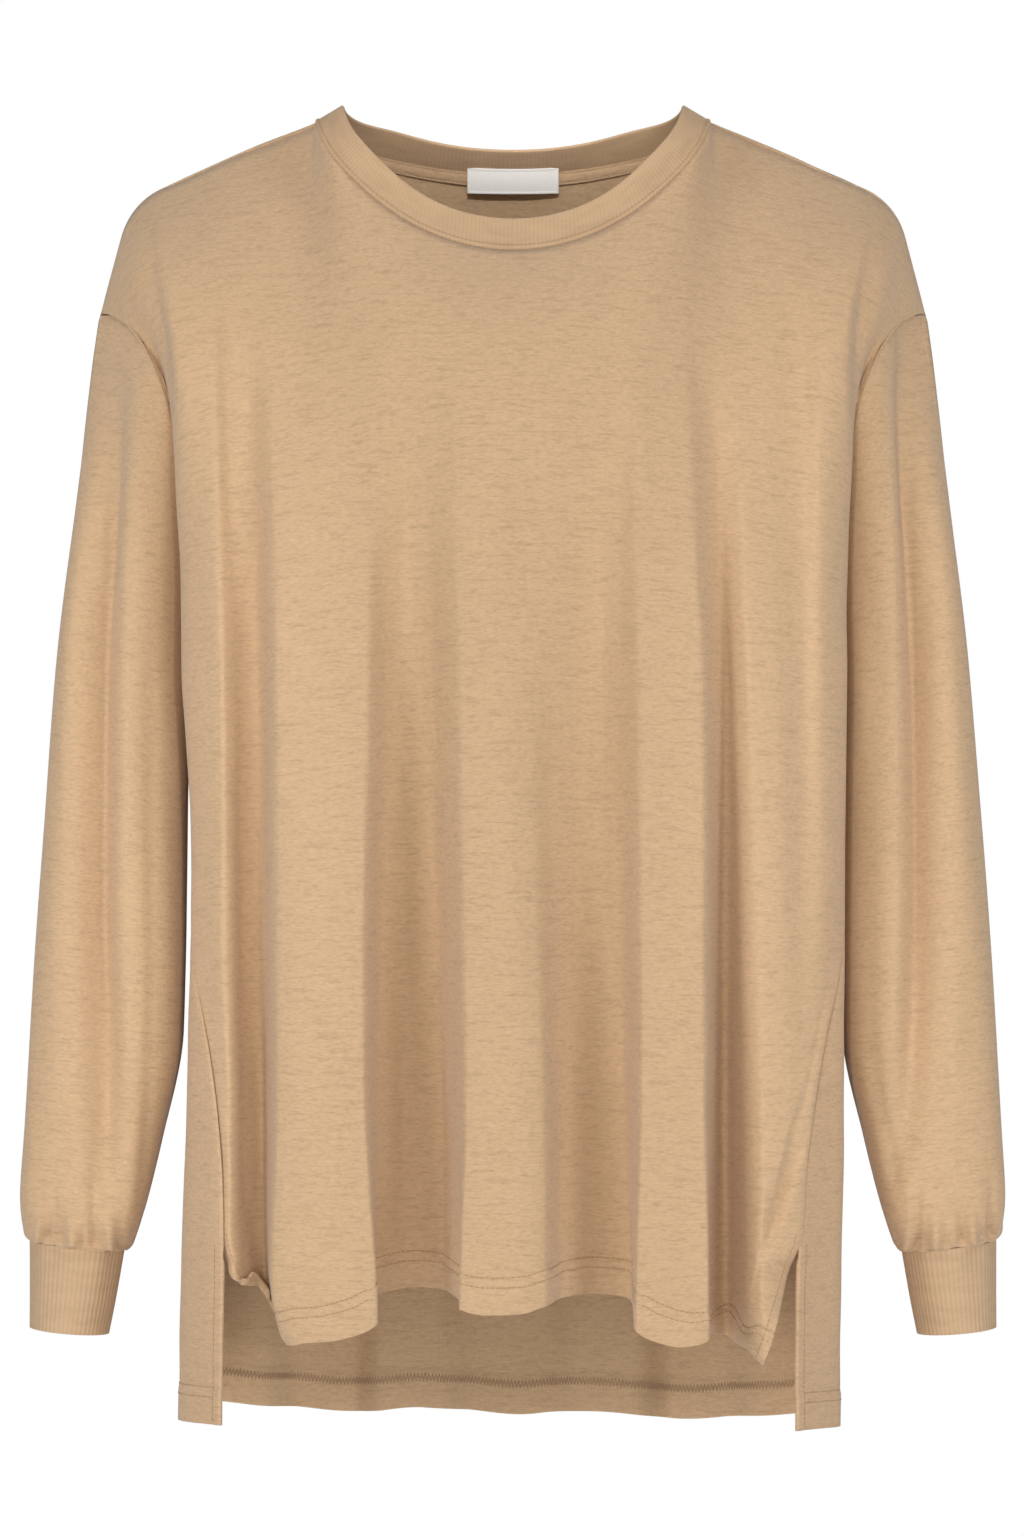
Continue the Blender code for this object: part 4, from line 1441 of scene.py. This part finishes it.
@dataclass
class Tube:
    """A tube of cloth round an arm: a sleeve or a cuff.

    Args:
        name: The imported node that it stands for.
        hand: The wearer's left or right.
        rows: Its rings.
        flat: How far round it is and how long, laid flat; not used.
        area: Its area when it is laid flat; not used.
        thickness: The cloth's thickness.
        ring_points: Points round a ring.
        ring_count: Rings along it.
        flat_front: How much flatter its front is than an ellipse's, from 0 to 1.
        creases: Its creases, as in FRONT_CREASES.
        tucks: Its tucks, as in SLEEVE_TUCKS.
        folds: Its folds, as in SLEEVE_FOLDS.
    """

    name: str
    hand: Hand
    rows: Table
    flat: tuple[float, float]
    area: float
    thickness: float = 0.0011
    ring_points: int = 200
    ring_count: int = 190
    flat_front: float = 0.0
    creases: tuple = ()
    tucks: tuple[tuple[float, float, float, float], ...] = ()
    folds: tuple = ()
    grid: np.ndarray = field(init=False)
    normals: np.ndarray = field(init=False)

    def base(self) -> np.ndarray:
        """The form with no folds.

        Returns:
            Rings from the top down. The last column repeats the first.
        """
        keys = np.arange(len(self.rows["outer_x"]), dtype=float)
        turns = np.linspace(0, math.pi / 2, self.ring_points // 2 + 1)
        rings = []
        for at in np.linspace(0, keys[-1], self.ring_count + 1):
            ring = {name: even_curve(keys, values, np.array([at]))[0] for name, values in self.rows.items()}
            power = 2 / ring["round"]
            front = self.flat_front * float(smooth(at / 2.5)) * float(smooth((keys[-1] - at) / 2))
            x = ring["outer_x"] + (ring["inner_x"] - ring["outer_x"]) * np.sin(turns) ** power
            z = ring["inner_z"] + (ring["outer_z"] - ring["inner_z"]) * np.cos(turns).clip(0) ** power
            halves = []
            for side, flatter in ((-1, front), (1, 0)):
                y = ring["middle_y"] + side * ring["half_depth"] * np.sin(2 * turns).clip(0) ** (1 - flatter)
                halves.append(np.stack([self.hand.value * x, y, z], axis=1))
            rings.append(np.concatenate([halves[0], halves[1][-2::-1]]))
        return np.array(rings)


@dataclass
class Sleeve(Tube):
    """A long sleeve with its soft lengthways folds."""

    def shape(self) -> None:
        """Works out the rings, with the folds, the seams' grooves and the gathers above the cuff."""
        self.grid = self.base()
        self.normals = grid_normals(self.grid, self.hand.value, True)
        down, turn = np.meshgrid(np.linspace(0, 1, self.grid.shape[0]),
                                 np.linspace(0, 1, self.grid.shape[1]), indexing="ij")
        shift = np.zeros_like(down)
        for middle, end, width, depth, start, stop in self.folds:
            line = middle + (end - middle) * down
            gap = np.abs((turn - line + 0.5) % 1 - 0.5)
            fade = smooth((down - start) / 0.15) * smooth((stop - down) / 0.2)
            shift += depth / 1000 * np.exp(-((gap / width) ** 2)) * fade
        length = grid_lengths(self.grid, 0)
        rest = length[-1:] - length
        wave = ripple(turn * 0.3, length, 21 + self.hand.value, (0.06, 0.4))
        shift += 0.0006 * wave * smooth(length / 0.03)
        tuck = np.sin(ROUND * (turn * 13 + 0.45 * np.sin(ROUND * turn * 2 + self.hand.value)))
        shift += tuck * np.exp(-rest / 0.012) * 0.0006
        column, _ = place_to_pixel(self.grid)
        shift -= creased(self.grid, self.creases) * (-self.normals[..., 1]).clip(0)
        for place, wide, deep, reach in self.tucks:
            fall = np.exp(-(((rest - 0.007).clip(0) / reach * 1000) ** 1.5))
            fall = np.exp(-(((column - place) / wide) ** 2)) * fall
            shift += deep / 1000 * fall * smooth(rest / 0.006) * (self.normals[..., 1] < 0)
        shift -= SEAM_GROOVE * np.exp(-((length / SEAM_REACH) ** 2))
        shift += 0.0010 * np.exp(-(((rest - 0.004) / 0.004) ** 2))
        under = np.abs(turn - 0.5) * 0.25
        shift -= 0.0008 * np.exp(-((under / 0.0018) ** 2))
        self.grid = self.grid + self.normals * shift[..., None]
        self.grid[:, -1] = self.grid[:, 0]
        self.normals = grid_normals(self.grid, self.hand.value, True)

    def build(self, finishes: Finishes) -> bpy.types.Object:
        """Builds the sleeve.

        Args:
            finishes: The shirt's finishes.

        Returns:
            The piece.
        """
        self.shape()
        run = self.grid[-1].mean(axis=0) - self.grid[0].mean(axis=0)
        v = -(self.grid - self.grid[0, 0]) @ (run / np.linalg.norm(run))
        chart = np.stack([grid_lengths(self.grid, 1), v], axis=2)
        sheet = cloth_mesh(f"{self.name}_cloth", self.grid, True, chart)
        at = (self.grid.shape[0] // 2, self.ring_points // 4)
        face_outwards(sheet, self.normals[at], self.grid[at])
        thicken(sheet, self.thickness)
        dress(sheet, finishes.jersey, self.name)
        LOG.info("%s: %.3f round, %.3f long", self.name, grid_lengths(self.grid, 1)[:, -1].max(),
                 grid_lengths(self.grid, 0).max())
        return sheet


def folded_band(seam: np.ndarray, up: np.ndarray, out: np.ndarray,
                profile: list[tuple[float, float]]) -> np.ndarray:
    """A rib band folded double, as closed rings round its profile.

    Args:
        seam: Points along the seam.
        up: The way the band stands at each, as long as the band is wide.
        out: The outward direction at each.
        profile: Places on the profile: the share of the width, and how far out in metres.

    Returns:
        The grid, one row for each place on the profile.
    """
    return np.array([seam + up * share + out * stand for share, stand in profile])


def band_profile(width: float, thickness: float, ridge: float, stitch: float) -> list[tuple[float, float]]:
    """The profile of a folded band, from its seam up the outside, over the fold and down inside.

    Args:
        width: The band's width.
        thickness: Both layers together.
        ridge: How far the seam allowance under it stands out.
        stitch: How far from the seam the topstitch is, or 0 for none.

    Returns:
        Places as the share of the width and how far out.
    """
    radius = thickness / 2
    places = []
    for share in np.linspace(0, 1 - radius / width, BAND_STEPS):
        distance = share * width
        stand = -0.0004 * math.exp(-((distance / 0.0006) ** 2))
        if stitch:
            stand += ridge * math.exp(-(((distance - stitch / 2) / (stitch * 0.42)) ** 2))
            stand -= 0.0003 * math.exp(-(((distance - stitch) / 0.0005) ** 2))
        places.append((share, stand))
    for turn in np.linspace(0, math.pi, 9)[1:-1]:
        share = 1 - radius / width + radius / width * math.sin(turn)
        places.append((share, -radius + radius * math.cos(turn)))
    for share in np.linspace(1 - radius / width, 0, 14):
        places.append((share, -thickness))
    return places


@dataclass
class Cuff(Tube):
    """A rib cuff, folded double at the wrist."""

    rib_thickness: float = 0.0022
    width: float = 0.0500

    def build(self, finishes: Finishes) -> bpy.types.Object:
        """Builds the cuff.

        Args:
            finishes: The shirt's finishes.

        Returns:
            The piece.
        """
        rings = self.base()
        outs = grid_normals(rings, self.hand.value, True)
        turn = np.linspace(0, 1, rings.shape[1])
        places = band_profile(self.width, self.rib_thickness, 0.0, 0.0)
        rows, last = [], rings.shape[0] - 1
        for share, stand in places:
            at = min(share, 1) * last
            i = min(int(at), last - 1)
            part = at - i
            middle = rings[i] * (1 - part) + rings[i + 1] * part
            out = outs[i] * (1 - part) + outs[i + 1] * part
            wave = 0.0006 * np.sin(ROUND * turn * 9 + 1) * (1 - share) ** 2 * (1 - math.exp(-share / 0.03))
            rows.append(middle + out * (stand + wave)[:, None])
        self.grid = np.array([*rows, rows[0]])
        self.normals = grid_normals(self.grid, self.hand.value, True)
        u = np.broadcast_to(grid_lengths(rings, 1)[last // 2], self.grid.shape[:2])
        chart = np.stack([u, grid_lengths(self.grid, 0)], axis=2)
        sheet = cloth_mesh(f"{self.name}_rib", self.grid, True, chart)
        at = (10, self.ring_points // 4)
        face_outwards(sheet, self.normals[at], self.grid[at])
        dress(sheet, finishes.cuff_rib, self.name)
        LOG.info("%s: %.3f round, %.3f long", self.name, grid_lengths(self.grid, 1)[:, -1].max(),
                 grid_lengths(rings, 0).max())
        return sheet


@dataclass
class Stitching:
    """Rows of stitches in one piece, each stitch a small spindle that dips into the cloth.

    Args:
        name: The piece's name.
        pitch: How far apart the stitches are.
        length: How long a stitch is.
        radius: Half the thread's thickness.
        lift: How far a stitch's middle is above the cloth.
        places: Each row's starts, ends and outward directions.
    """

    name: str
    pitch: float = 0.0030
    length: float = 0.0026
    radius: float = 0.00028
    lift: float = 0.00012
    places: list[tuple[np.ndarray, np.ndarray, np.ndarray]] = field(default_factory=list)

    def row(self, path: np.ndarray, normals: np.ndarray) -> None:
        """Adds a row of stitches end to end.

        Args:
            path: Points along the row, on the cloth.
            normals: The direction out of the cloth at each.
        """
        at = lengths(path)
        centres = np.arange(self.pitch / 2, at[-1], self.pitch)
        if not len(centres):
            return
        ends = [along(path, np.clip(centres + side * self.length / 2, 0, at[-1])) for side in (-1, 1)]
        out = np.stack([np.interp(centres, at, normals[:, k]) for k in range(3)], axis=1)
        self.places.append((ends[0], ends[1], out))

    def zigzag(self, first: np.ndarray, second: np.ndarray, normals: np.ndarray) -> None:
        """Adds stitches to and fro between two rows.

        Args:
            first: Points along one row.
            second: Points along the other.
            normals: The direction out of the cloth at each.
        """
        at = lengths(first)
        centres = np.arange(self.pitch, at[-1] - self.pitch, self.pitch)
        share = lengths(second)[-1] / at[-1]
        low, high = along(first, centres), along(second, (centres + self.pitch / 2) * share)
        out = np.stack([np.interp(centres, at, normals[:, k]) for k in range(3)], axis=1)
        self.places.append((low, high, out))
        self.places.append((high[:-1], low[1:], out[1:]))

    def build(self, material: bpy.types.Material, slot: Slot = Slot.JERSEY) -> bpy.types.Object:
        """Makes one stitch and repeats it along the rows.

        Args:
            material: The thread.
            slot: The record's slot; not used.

        Returns:
            The piece.
        """
        clear_selection()
        bpy.ops.mesh.primitive_uv_sphere_add(segments=5, ring_count=4, radius=1, location=(0, 0, 0))
        piece = bpy.context.object
        piece.name = piece.data.name = self.name
        shape = np.array([vertex.co[:] for vertex in piece.data.vertices])
        faces = [tuple(face.vertices) for face in piece.data.polygons]
        start, end, out = (np.concatenate([place[k] for place in self.places]) for k in range(3))
        run = end - start
        size = np.linalg.norm(run, axis=1, keepdims=True)
        run /= np.maximum(size, 1e-9)
        out = out - run * np.sum(out * run, axis=1, keepdims=True)
        out /= np.linalg.norm(out, axis=1, keepdims=True)
        side = np.cross(run, out)
        centres = (start + end) / 2 + out * self.lift
        points = (centres[:, None] + out[:, None] * shape[None, :, :1] * self.radius
                  + side[:, None] * shape[None, :, 1:2] * self.radius
                  + run[:, None] * shape[None, :, 2:] * size[:, None] / 2)
        total = len(shape)
        mesh = bpy.data.meshes.new(self.name)
        mesh.from_pydata(points.reshape(-1, 3).tolist(), [],
                         [tuple(i + n * total for i in face) for n in range(len(centres)) for face in faces])
        piece.data = mesh
        mesh.name = self.name
        dress(piece, material)
        return piece


def line_up(grid: np.ndarray, normals: np.ndarray, distance: float,
            columns: slice) -> tuple[np.ndarray, np.ndarray]:
    """The line across a grid at a distance from its first row.

    Args:
        grid: Points in rows and columns.
        normals: The direction out of the cloth at each.
        distance: The distance along each column.
        columns: The columns to cover.

    Returns:
        Points and directions.
    """
    up = grid_lengths(grid, 0)
    points, outs = [], []
    for j in range(*columns.indices(grid.shape[1])):
        points.append([np.interp(distance, up[:, j], grid[:, j, k]) for k in range(3)])
        outs.append([np.interp(distance, up[:, j], normals[:, j, k]) for k in range(3)])
    return np.array(points), np.array(outs)


@dataclass
class HemSewing:
    """The twin-needle stitching of a panel's hem and slits, with its looper thread inside.

    Args:
        panel: The front or the back, once it is built.
        lines: How far the needles' two rows are from the hem's edge.
        slit_line: How far the row beside a slit is from its edge.
        looper_pitch: How far apart the looper's stitches are.
        looper_radius: Half the looper thread's thickness.
    """

    panel: BodyPanel
    lines: tuple[float, float] = (0.0155, 0.0212)
    slit_line: float = 0.0062
    looper_pitch: float = 0.0022
    looper_radius: float = 0.00026

    def build(self, finishes: Finishes) -> None:
        """Sews the hem and the slits.

        Args:
            finishes: The shirt's finishes.
        """
        grid, normals, name = self.panel.grid, self.panel.normals, self.panel.name
        inside = grid - normals * self.panel.thickness * 2
        outer = Stitching(f"{name}_hem_stitches")
        rows = []
        for distance in self.lines:
            path, out = line_up(grid, normals, distance, slice(3, grid.shape[1] - 3))
            outer.row(path, out)
            rows.append(line_up(inside, -normals, distance, slice(3, grid.shape[1] - 3)))
        turned = [np.swapaxes(part, 0, 1) for part in (grid, normals)]
        slit = slice(2, int(np.argmin(np.abs(grid[:, 0, 2] - SLIT_TOP - 0.002))) + 2)
        for points, outs in ((turned[0], turned[1]), (turned[0][::-1], turned[1][::-1])):
            path, out = line_up(points, outs, self.slit_line, slit)
            outer.row(path, out)
        outer.build(finishes.thread)
        looper = Stitching(f"{name}_hem_looper", pitch=self.looper_pitch, radius=self.looper_radius)
        looper.zigzag(rows[0][0], rows[1][0], rows[0][1])
        looper.build(finishes.thread)


@dataclass
class Neck:
    """The rib neck band, the tape over its seam inside and the blank label.

    Args:
        thickness: Both layers of the band together.
        front_points: Points on the seam from the centre front to a shoulder.
        back_points: Points from there to the centre back.
        label_hang: How far the label's end hangs out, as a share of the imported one's.
    """

    thickness: float = 0.0022
    front_points: int = 54
    back_points: int = 40
    label_hang: float = 0.65
    seam: np.ndarray = field(init=False)
    up: np.ndarray = field(init=False)
    out: np.ndarray = field(init=False)

    def lay_out(self) -> None:
        """Works out the neck seam, and which way the band stands and faces along it. The centre
        front comes first, and the last point repeats it."""
        seam, lean = [], []
        for name, panel, count in (("front", FRONT, self.front_points), ("back", BACK, self.back_points)):
            turns = np.linspace(0, math.pi / 2, count + 1)
            start = flat_turn(panel)
            low = armhole_row(panel, start, turns / (math.pi / 2) * NECK_SHARE)
            top = armhole(panel.sign, start)[2]
            x, crown, tilt = neckline(panel, top, turns)
            y = RIDGE_Y + (low[:, 1] - RIDGE_Y) * np.cos(tilt)
            half = np.stack([x, y, top + (crown - top) * np.sin(tilt)], axis=1)
            side = (np.sin(turns) ** 2)[:, None]
            up = np.array(RIB_LEANS[name]) * (1 - side) + np.array(RIB_LEANS["side"]) * side
            up = up / np.linalg.norm(up, axis=1, keepdims=True)
            if panel is BACK:
                half, up = half[-2::-1], up[-2::-1]
            seam.append(half)
            lean.append(up)
        seam, lean = np.concatenate(seam), np.concatenate(lean)
        mirror = np.array([-1, 1, 1])
        self.seam = settled(np.concatenate([seam, seam[-2::-1] * mirror]))
        self.up = np.concatenate([lean, lean[-2::-1] * mirror]) * RIB_HEIGHT
        self.up *= 1 - 0.07 * np.exp(-(((np.abs(self.seam[:, :1]) - NECK_HALF) / 0.02) ** 2))
        ring = np.concatenate([self.seam[-2:-1], self.seam, self.seam[1:2]])
        out = np.cross(ring[2:] - ring[:-2], self.up)
        self.out = out / np.linalg.norm(out, axis=1, keepdims=True)

    def build(self, finishes: Finishes, back: BodyPanel) -> None:
        """Builds the band, the tape and the label.

        Args:
            finishes: The shirt's finishes.
            back: The back, on whose inside the tape lies.
        """
        self.lay_out()
        profile = band_profile(RIB_HEIGHT, self.thickness, 0.0008, STITCH_SIDE)
        grid = folded_band(self.seam, self.up, self.out, profile)
        grid = np.concatenate([grid, grid[:1]])
        u = np.broadcast_to(lengths(self.seam + self.up / 2), grid.shape[:2])
        chart = np.stack([u, grid_lengths(grid, 0)], axis=2)
        band = cloth_mesh("neck_band", grid, True, chart)
        face_outwards(band, self.out[3], grid[10, 3])
        dress(band, finishes.neck_rib, "neck_rib")
        stitch = Stitching("neck_topstitch", FINE_PITCH, FINE_LENGTH, FINE_RADIUS)
        heights = np.array([share for share, _ in profile[:BAND_STEPS]]) * RIB_HEIGHT
        row = int(np.argmin(np.abs(heights - STITCH_SIDE)))
        stitch.row(grid[row], self.out)
        stitch.build(finishes.thread, Slot.RIB)
        self.tape(finishes, back)
        self.label(finishes, back)

    def tape(self, finishes: Finishes, back: BodyPanel) -> None:
        """Builds the tape over the back neck seam.

        Args:
            finishes: The shirt's finishes.
            back: The back.
        """
        inner = back.grid - back.normals * back.thickness
        middle, reach = inner.shape[1] // 2, back.neck_columns - 5
        columns = slice(middle - reach, middle + reach + 1)
        top = inner[-1, columns]
        below = inner[-4, columns]
        down = (below - top) / np.linalg.norm(below - top, axis=1, keepdims=True)
        out = np.cross(np.gradient(top, axis=0), down)
        out /= np.linalg.norm(out, axis=1, keepdims=True)
        grid = np.array([top + down * along_it - out * clear for along_it, clear in TAPE_PROFILE])
        sheet = cloth_mesh("neck_tape_cloth", grid, False)
        face_outwards(sheet, -out[reach], grid[5, reach])
        thicken(sheet, 0.0007)
        dress(sheet, finishes.jersey, "neck_tape")
        stitch = Stitching("tape_stitches", FINE_PITCH, FINE_LENGTH, FINE_RADIUS)
        for place in TAPE_SEWN:
            stitch.row(grid[place], -out)
        stitch.build(finishes.thread)
        LOG.info("tape %.3f long", float(lengths(grid[5])[-1]))

    def label(self, finishes: Finishes, back: BodyPanel) -> None:
        """Builds the blank label at the centre of the back neck.

        Args:
            finishes: The shirt's finishes.
            back: The back.
        """
        inner = back.grid - back.normals * back.thickness
        middle = inner.shape[1] // 2
        turn = len(self.seam) // 2
        start = self.seam[turn] - self.out[turn] * self.thickness
        start = start + self.up[turn] / RIB_HEIGHT * LABEL_ABOVE
        run = inner[-4, middle] - inner[-1, middle]
        end = inner[-1, middle] + run / np.linalg.norm(run) * LABEL_BELOW
        ends = []
        hang = LABEL_CLEAR[1] * self.label_hang
        for point, along_it, clear in ((start, self.up[turn], LABEL_CLEAR[0]), (end, run, hang)):
            along_it = along_it / np.linalg.norm(along_it)
            ends.append(point + np.array((0, -abs(along_it[2]), -abs(along_it[1]))) * clear)
        out = np.cross(ends[1] - ends[0], (1, 0, 0))
        out /= np.linalg.norm(out)
        rows, columns = 30, 90
        v, u = np.meshgrid(np.linspace(0, 1, rows + 1), np.linspace(-1, 1, columns + 1), indexing="ij")
        curve = 0.0022 * u**2 * (1 - 0.5 * v)
        edge = np.minimum((1 - np.abs(u)) * LABEL_WIDTH / 2, np.minimum(v, 1 - v) * 0.018)
        lift = 0.00035 * smooth((0.0016 - edge) / 0.0004) + 0.0004 * np.sin(math.pi * v)
        lift = lift - 0.0003 * np.exp(-((u * 8) ** 2))
        grid = (np.array(ends[0]) * (1 - v[..., None]) + np.array(ends[1]) * v[..., None]
                + np.stack([u * LABEL_WIDTH / 2, curve * 0.6, curve * 0.5], axis=2) + out * lift[..., None])
        sheet = cloth_mesh("blank_label", grid, False)
        face_outwards(sheet, out, grid[rows // 2, columns // 2])
        thicken(sheet, 0.0006)
        dress(sheet, finishes.label, "neck_label")


@dataclass
class Studio:
    """The floor, the soft lights and the camera.

    Args:
        eye: Where the camera stands.
        lens: Its focal length in millimetres.
        floor_height: How high the floor is.
    """

    eye: tuple[float, float, float] = (-0.0006, -EYE_DISTANCE, EYE_HEIGHT)
    lens: float = 127.5
    floor_height: float = -1.25

    def lamp(self, name: str, place: tuple[float, float, float], size: float, power: float) -> None:
        """A soft square lamp that faces the shirt.

        Args:
            name: Its name.
            place: Where it stands.
            size: Its side in metres.
            power: Its power in watts.
        """
        clear_selection()
        bpy.ops.object.light_add(type="AREA", location=place)
        lamp = bpy.context.object
        lamp.name, lamp.data.energy, lamp.data.size = name, power, size
        run = np.array(place) - np.array((0, 0, EYE_HEIGHT))
        tip = math.acos(run[2] / np.linalg.norm(run))
        lamp.rotation_euler = (tip, 0, math.atan2(run[1], run[0]) + math.pi / 2)

    def beam(self, name: str, place: tuple[float, float, float], aim: tuple[float, float, float],
             tilt: float, cone: float, narrow: float, power: float) -> None:
        """A soft-edged beam that fills a shaded place.

        Args:
            name: Its name.
            place: Where it stands.
            aim: Where it points.
            tilt: How far its cone is turned, in degrees.
            cone: The angle of its cone in degrees.
            narrow: The cone's width, as a share of its height.
            power: Its power in watts.
        """
        clear_selection()
        turn = (Vector(place) - Vector(aim)).to_track_quat("Z", "Y").to_euler()
        bpy.ops.object.light_add(type="SPOT", location=place, rotation=turn)
        beam = bpy.context.object
        beam.rotation_euler.rotate_axis("Z", math.radians(tilt))
        beam.scale = (narrow, 1, 1)
        beam.name, beam.data.energy, beam.data.shadow_soft_size = name, power, 0.08
        beam.data.spot_size, beam.data.spot_blend = math.radians(cone), 0.8

    def floor(self) -> None:
        """Lays the pale floor."""
        clear_selection()
        bpy.ops.mesh.primitive_circle_add(vertices=96, radius=2.2, fill_type="NGON",
                                          location=(0, 0, self.floor_height))
        floor = bpy.context.object
        floor.name = "floor"
        pale = bpy.data.materials.new("pale_floor")
        pale.use_nodes = True
        shader = pale.node_tree.nodes["Principled BSDF"]
        shader.inputs["Base Color"].default_value = (0.86, 0.86, 0.86, 1)
        shader.inputs["Roughness"].default_value = 0.9
        floor.data.materials.append(pale)

    def surroundings(self) -> None:
        """Makes the white background, whose light on the shirt is softer than it looks."""
        world = bpy.data.worlds.new("studio")
        bpy.context.scene.world = world
        world.use_nodes = True
        tree = world.node_tree
        soft = tree.nodes["Background"]
        soft.inputs["Strength"].default_value = 0.33
        seen = tree.nodes.new("ShaderNodeBackground")
        seen.inputs["Color"].default_value = (1, 1, 1, 1)
        soft.inputs["Color"].default_value = (1, 1, 1, 1)
        mix, ray = tree.nodes.new("ShaderNodeMixShader"), tree.nodes.new("ShaderNodeLightPath")
        tree.links.new(ray.outputs["Is Camera Ray"], mix.inputs[0])
        tree.links.new(soft.outputs[0], mix.inputs[1])
        tree.links.new(seen.outputs[0], mix.inputs[2])
        tree.links.new(mix.outputs[0], tree.nodes["World Output"].inputs["Surface"])

    def build(self) -> None:
        """Sets up the studio."""
        scene = bpy.context.scene
        scene.view_settings.view_transform = "Standard"
        self.floor()
        self.surroundings()
        self.lamp("left", (-2.5, -2.6, -0.25), 1.1, 38)
        self.lamp("right", (2.5, -2.6, -0.25), 1.1, 35)
        self.lamp("front", (-0.3, -3.8, -1.1), 0.8, 32)
        self.lamp("top", (0.0, -1.6, 2.2), 1.6, 15)
        self.lamp("back", (0.6, 3.6, 0.9), 1.4, 45)
        self.beam("neck", (0, -0.945, 0.435), (0, 0.055, 0.021), 0, 9.5, 1.0, 48)
        self.beam("sleeve_right", (0.42, -2.93, -0.4), (-0.202, 0, -0.42), -1.6, 16, 0.07, 165)
        self.beam("sleeve_left", (-0.42, -2.93, -0.4), (0.202, 0, -0.42), 1.6, 16, 0.07, 130)
        clear_selection()
        bpy.ops.object.camera_add(location=self.eye, rotation=(math.pi / 2, 0, 0))
        camera = bpy.context.object
        camera.data.lens, camera.data.sensor_width = self.lens, 36
        scene.camera = camera


def main() -> None:
    """Builds the shirt piece by piece, then the studio."""
    logging.basicConfig(level=logging.INFO, format="%(message)s")
    finishes = Finishes.make()
    front = BodyPanel("front", FRONT, FRONT_LINES, *FLATS["front"])
    back = BodyPanel("back", BACK, BACK_LINES, *FLATS["back"])
    for panel in (front, back):
        panel.build(finishes)
        HemSewing(panel).build(finishes)
    for hand in Hand:
        side = hand.name.lower()
        Sleeve(f"sleeve_{side}", hand, SLEEVE, *FLATS["sleeve"], folds=SLEEVE_FOLDS[hand],
               tucks=SLEEVE_TUCKS[hand], creases=SLEEVE_CREASES[hand], flat_front=0.6).build(finishes)
        Cuff(f"cuff_{side}", hand, CUFF, *FLATS["cuff"], ring_points=160, ring_count=24).build(finishes)
    Neck().build(finishes, back)
    Studio().build()


if __name__ == "__main__":
    main()
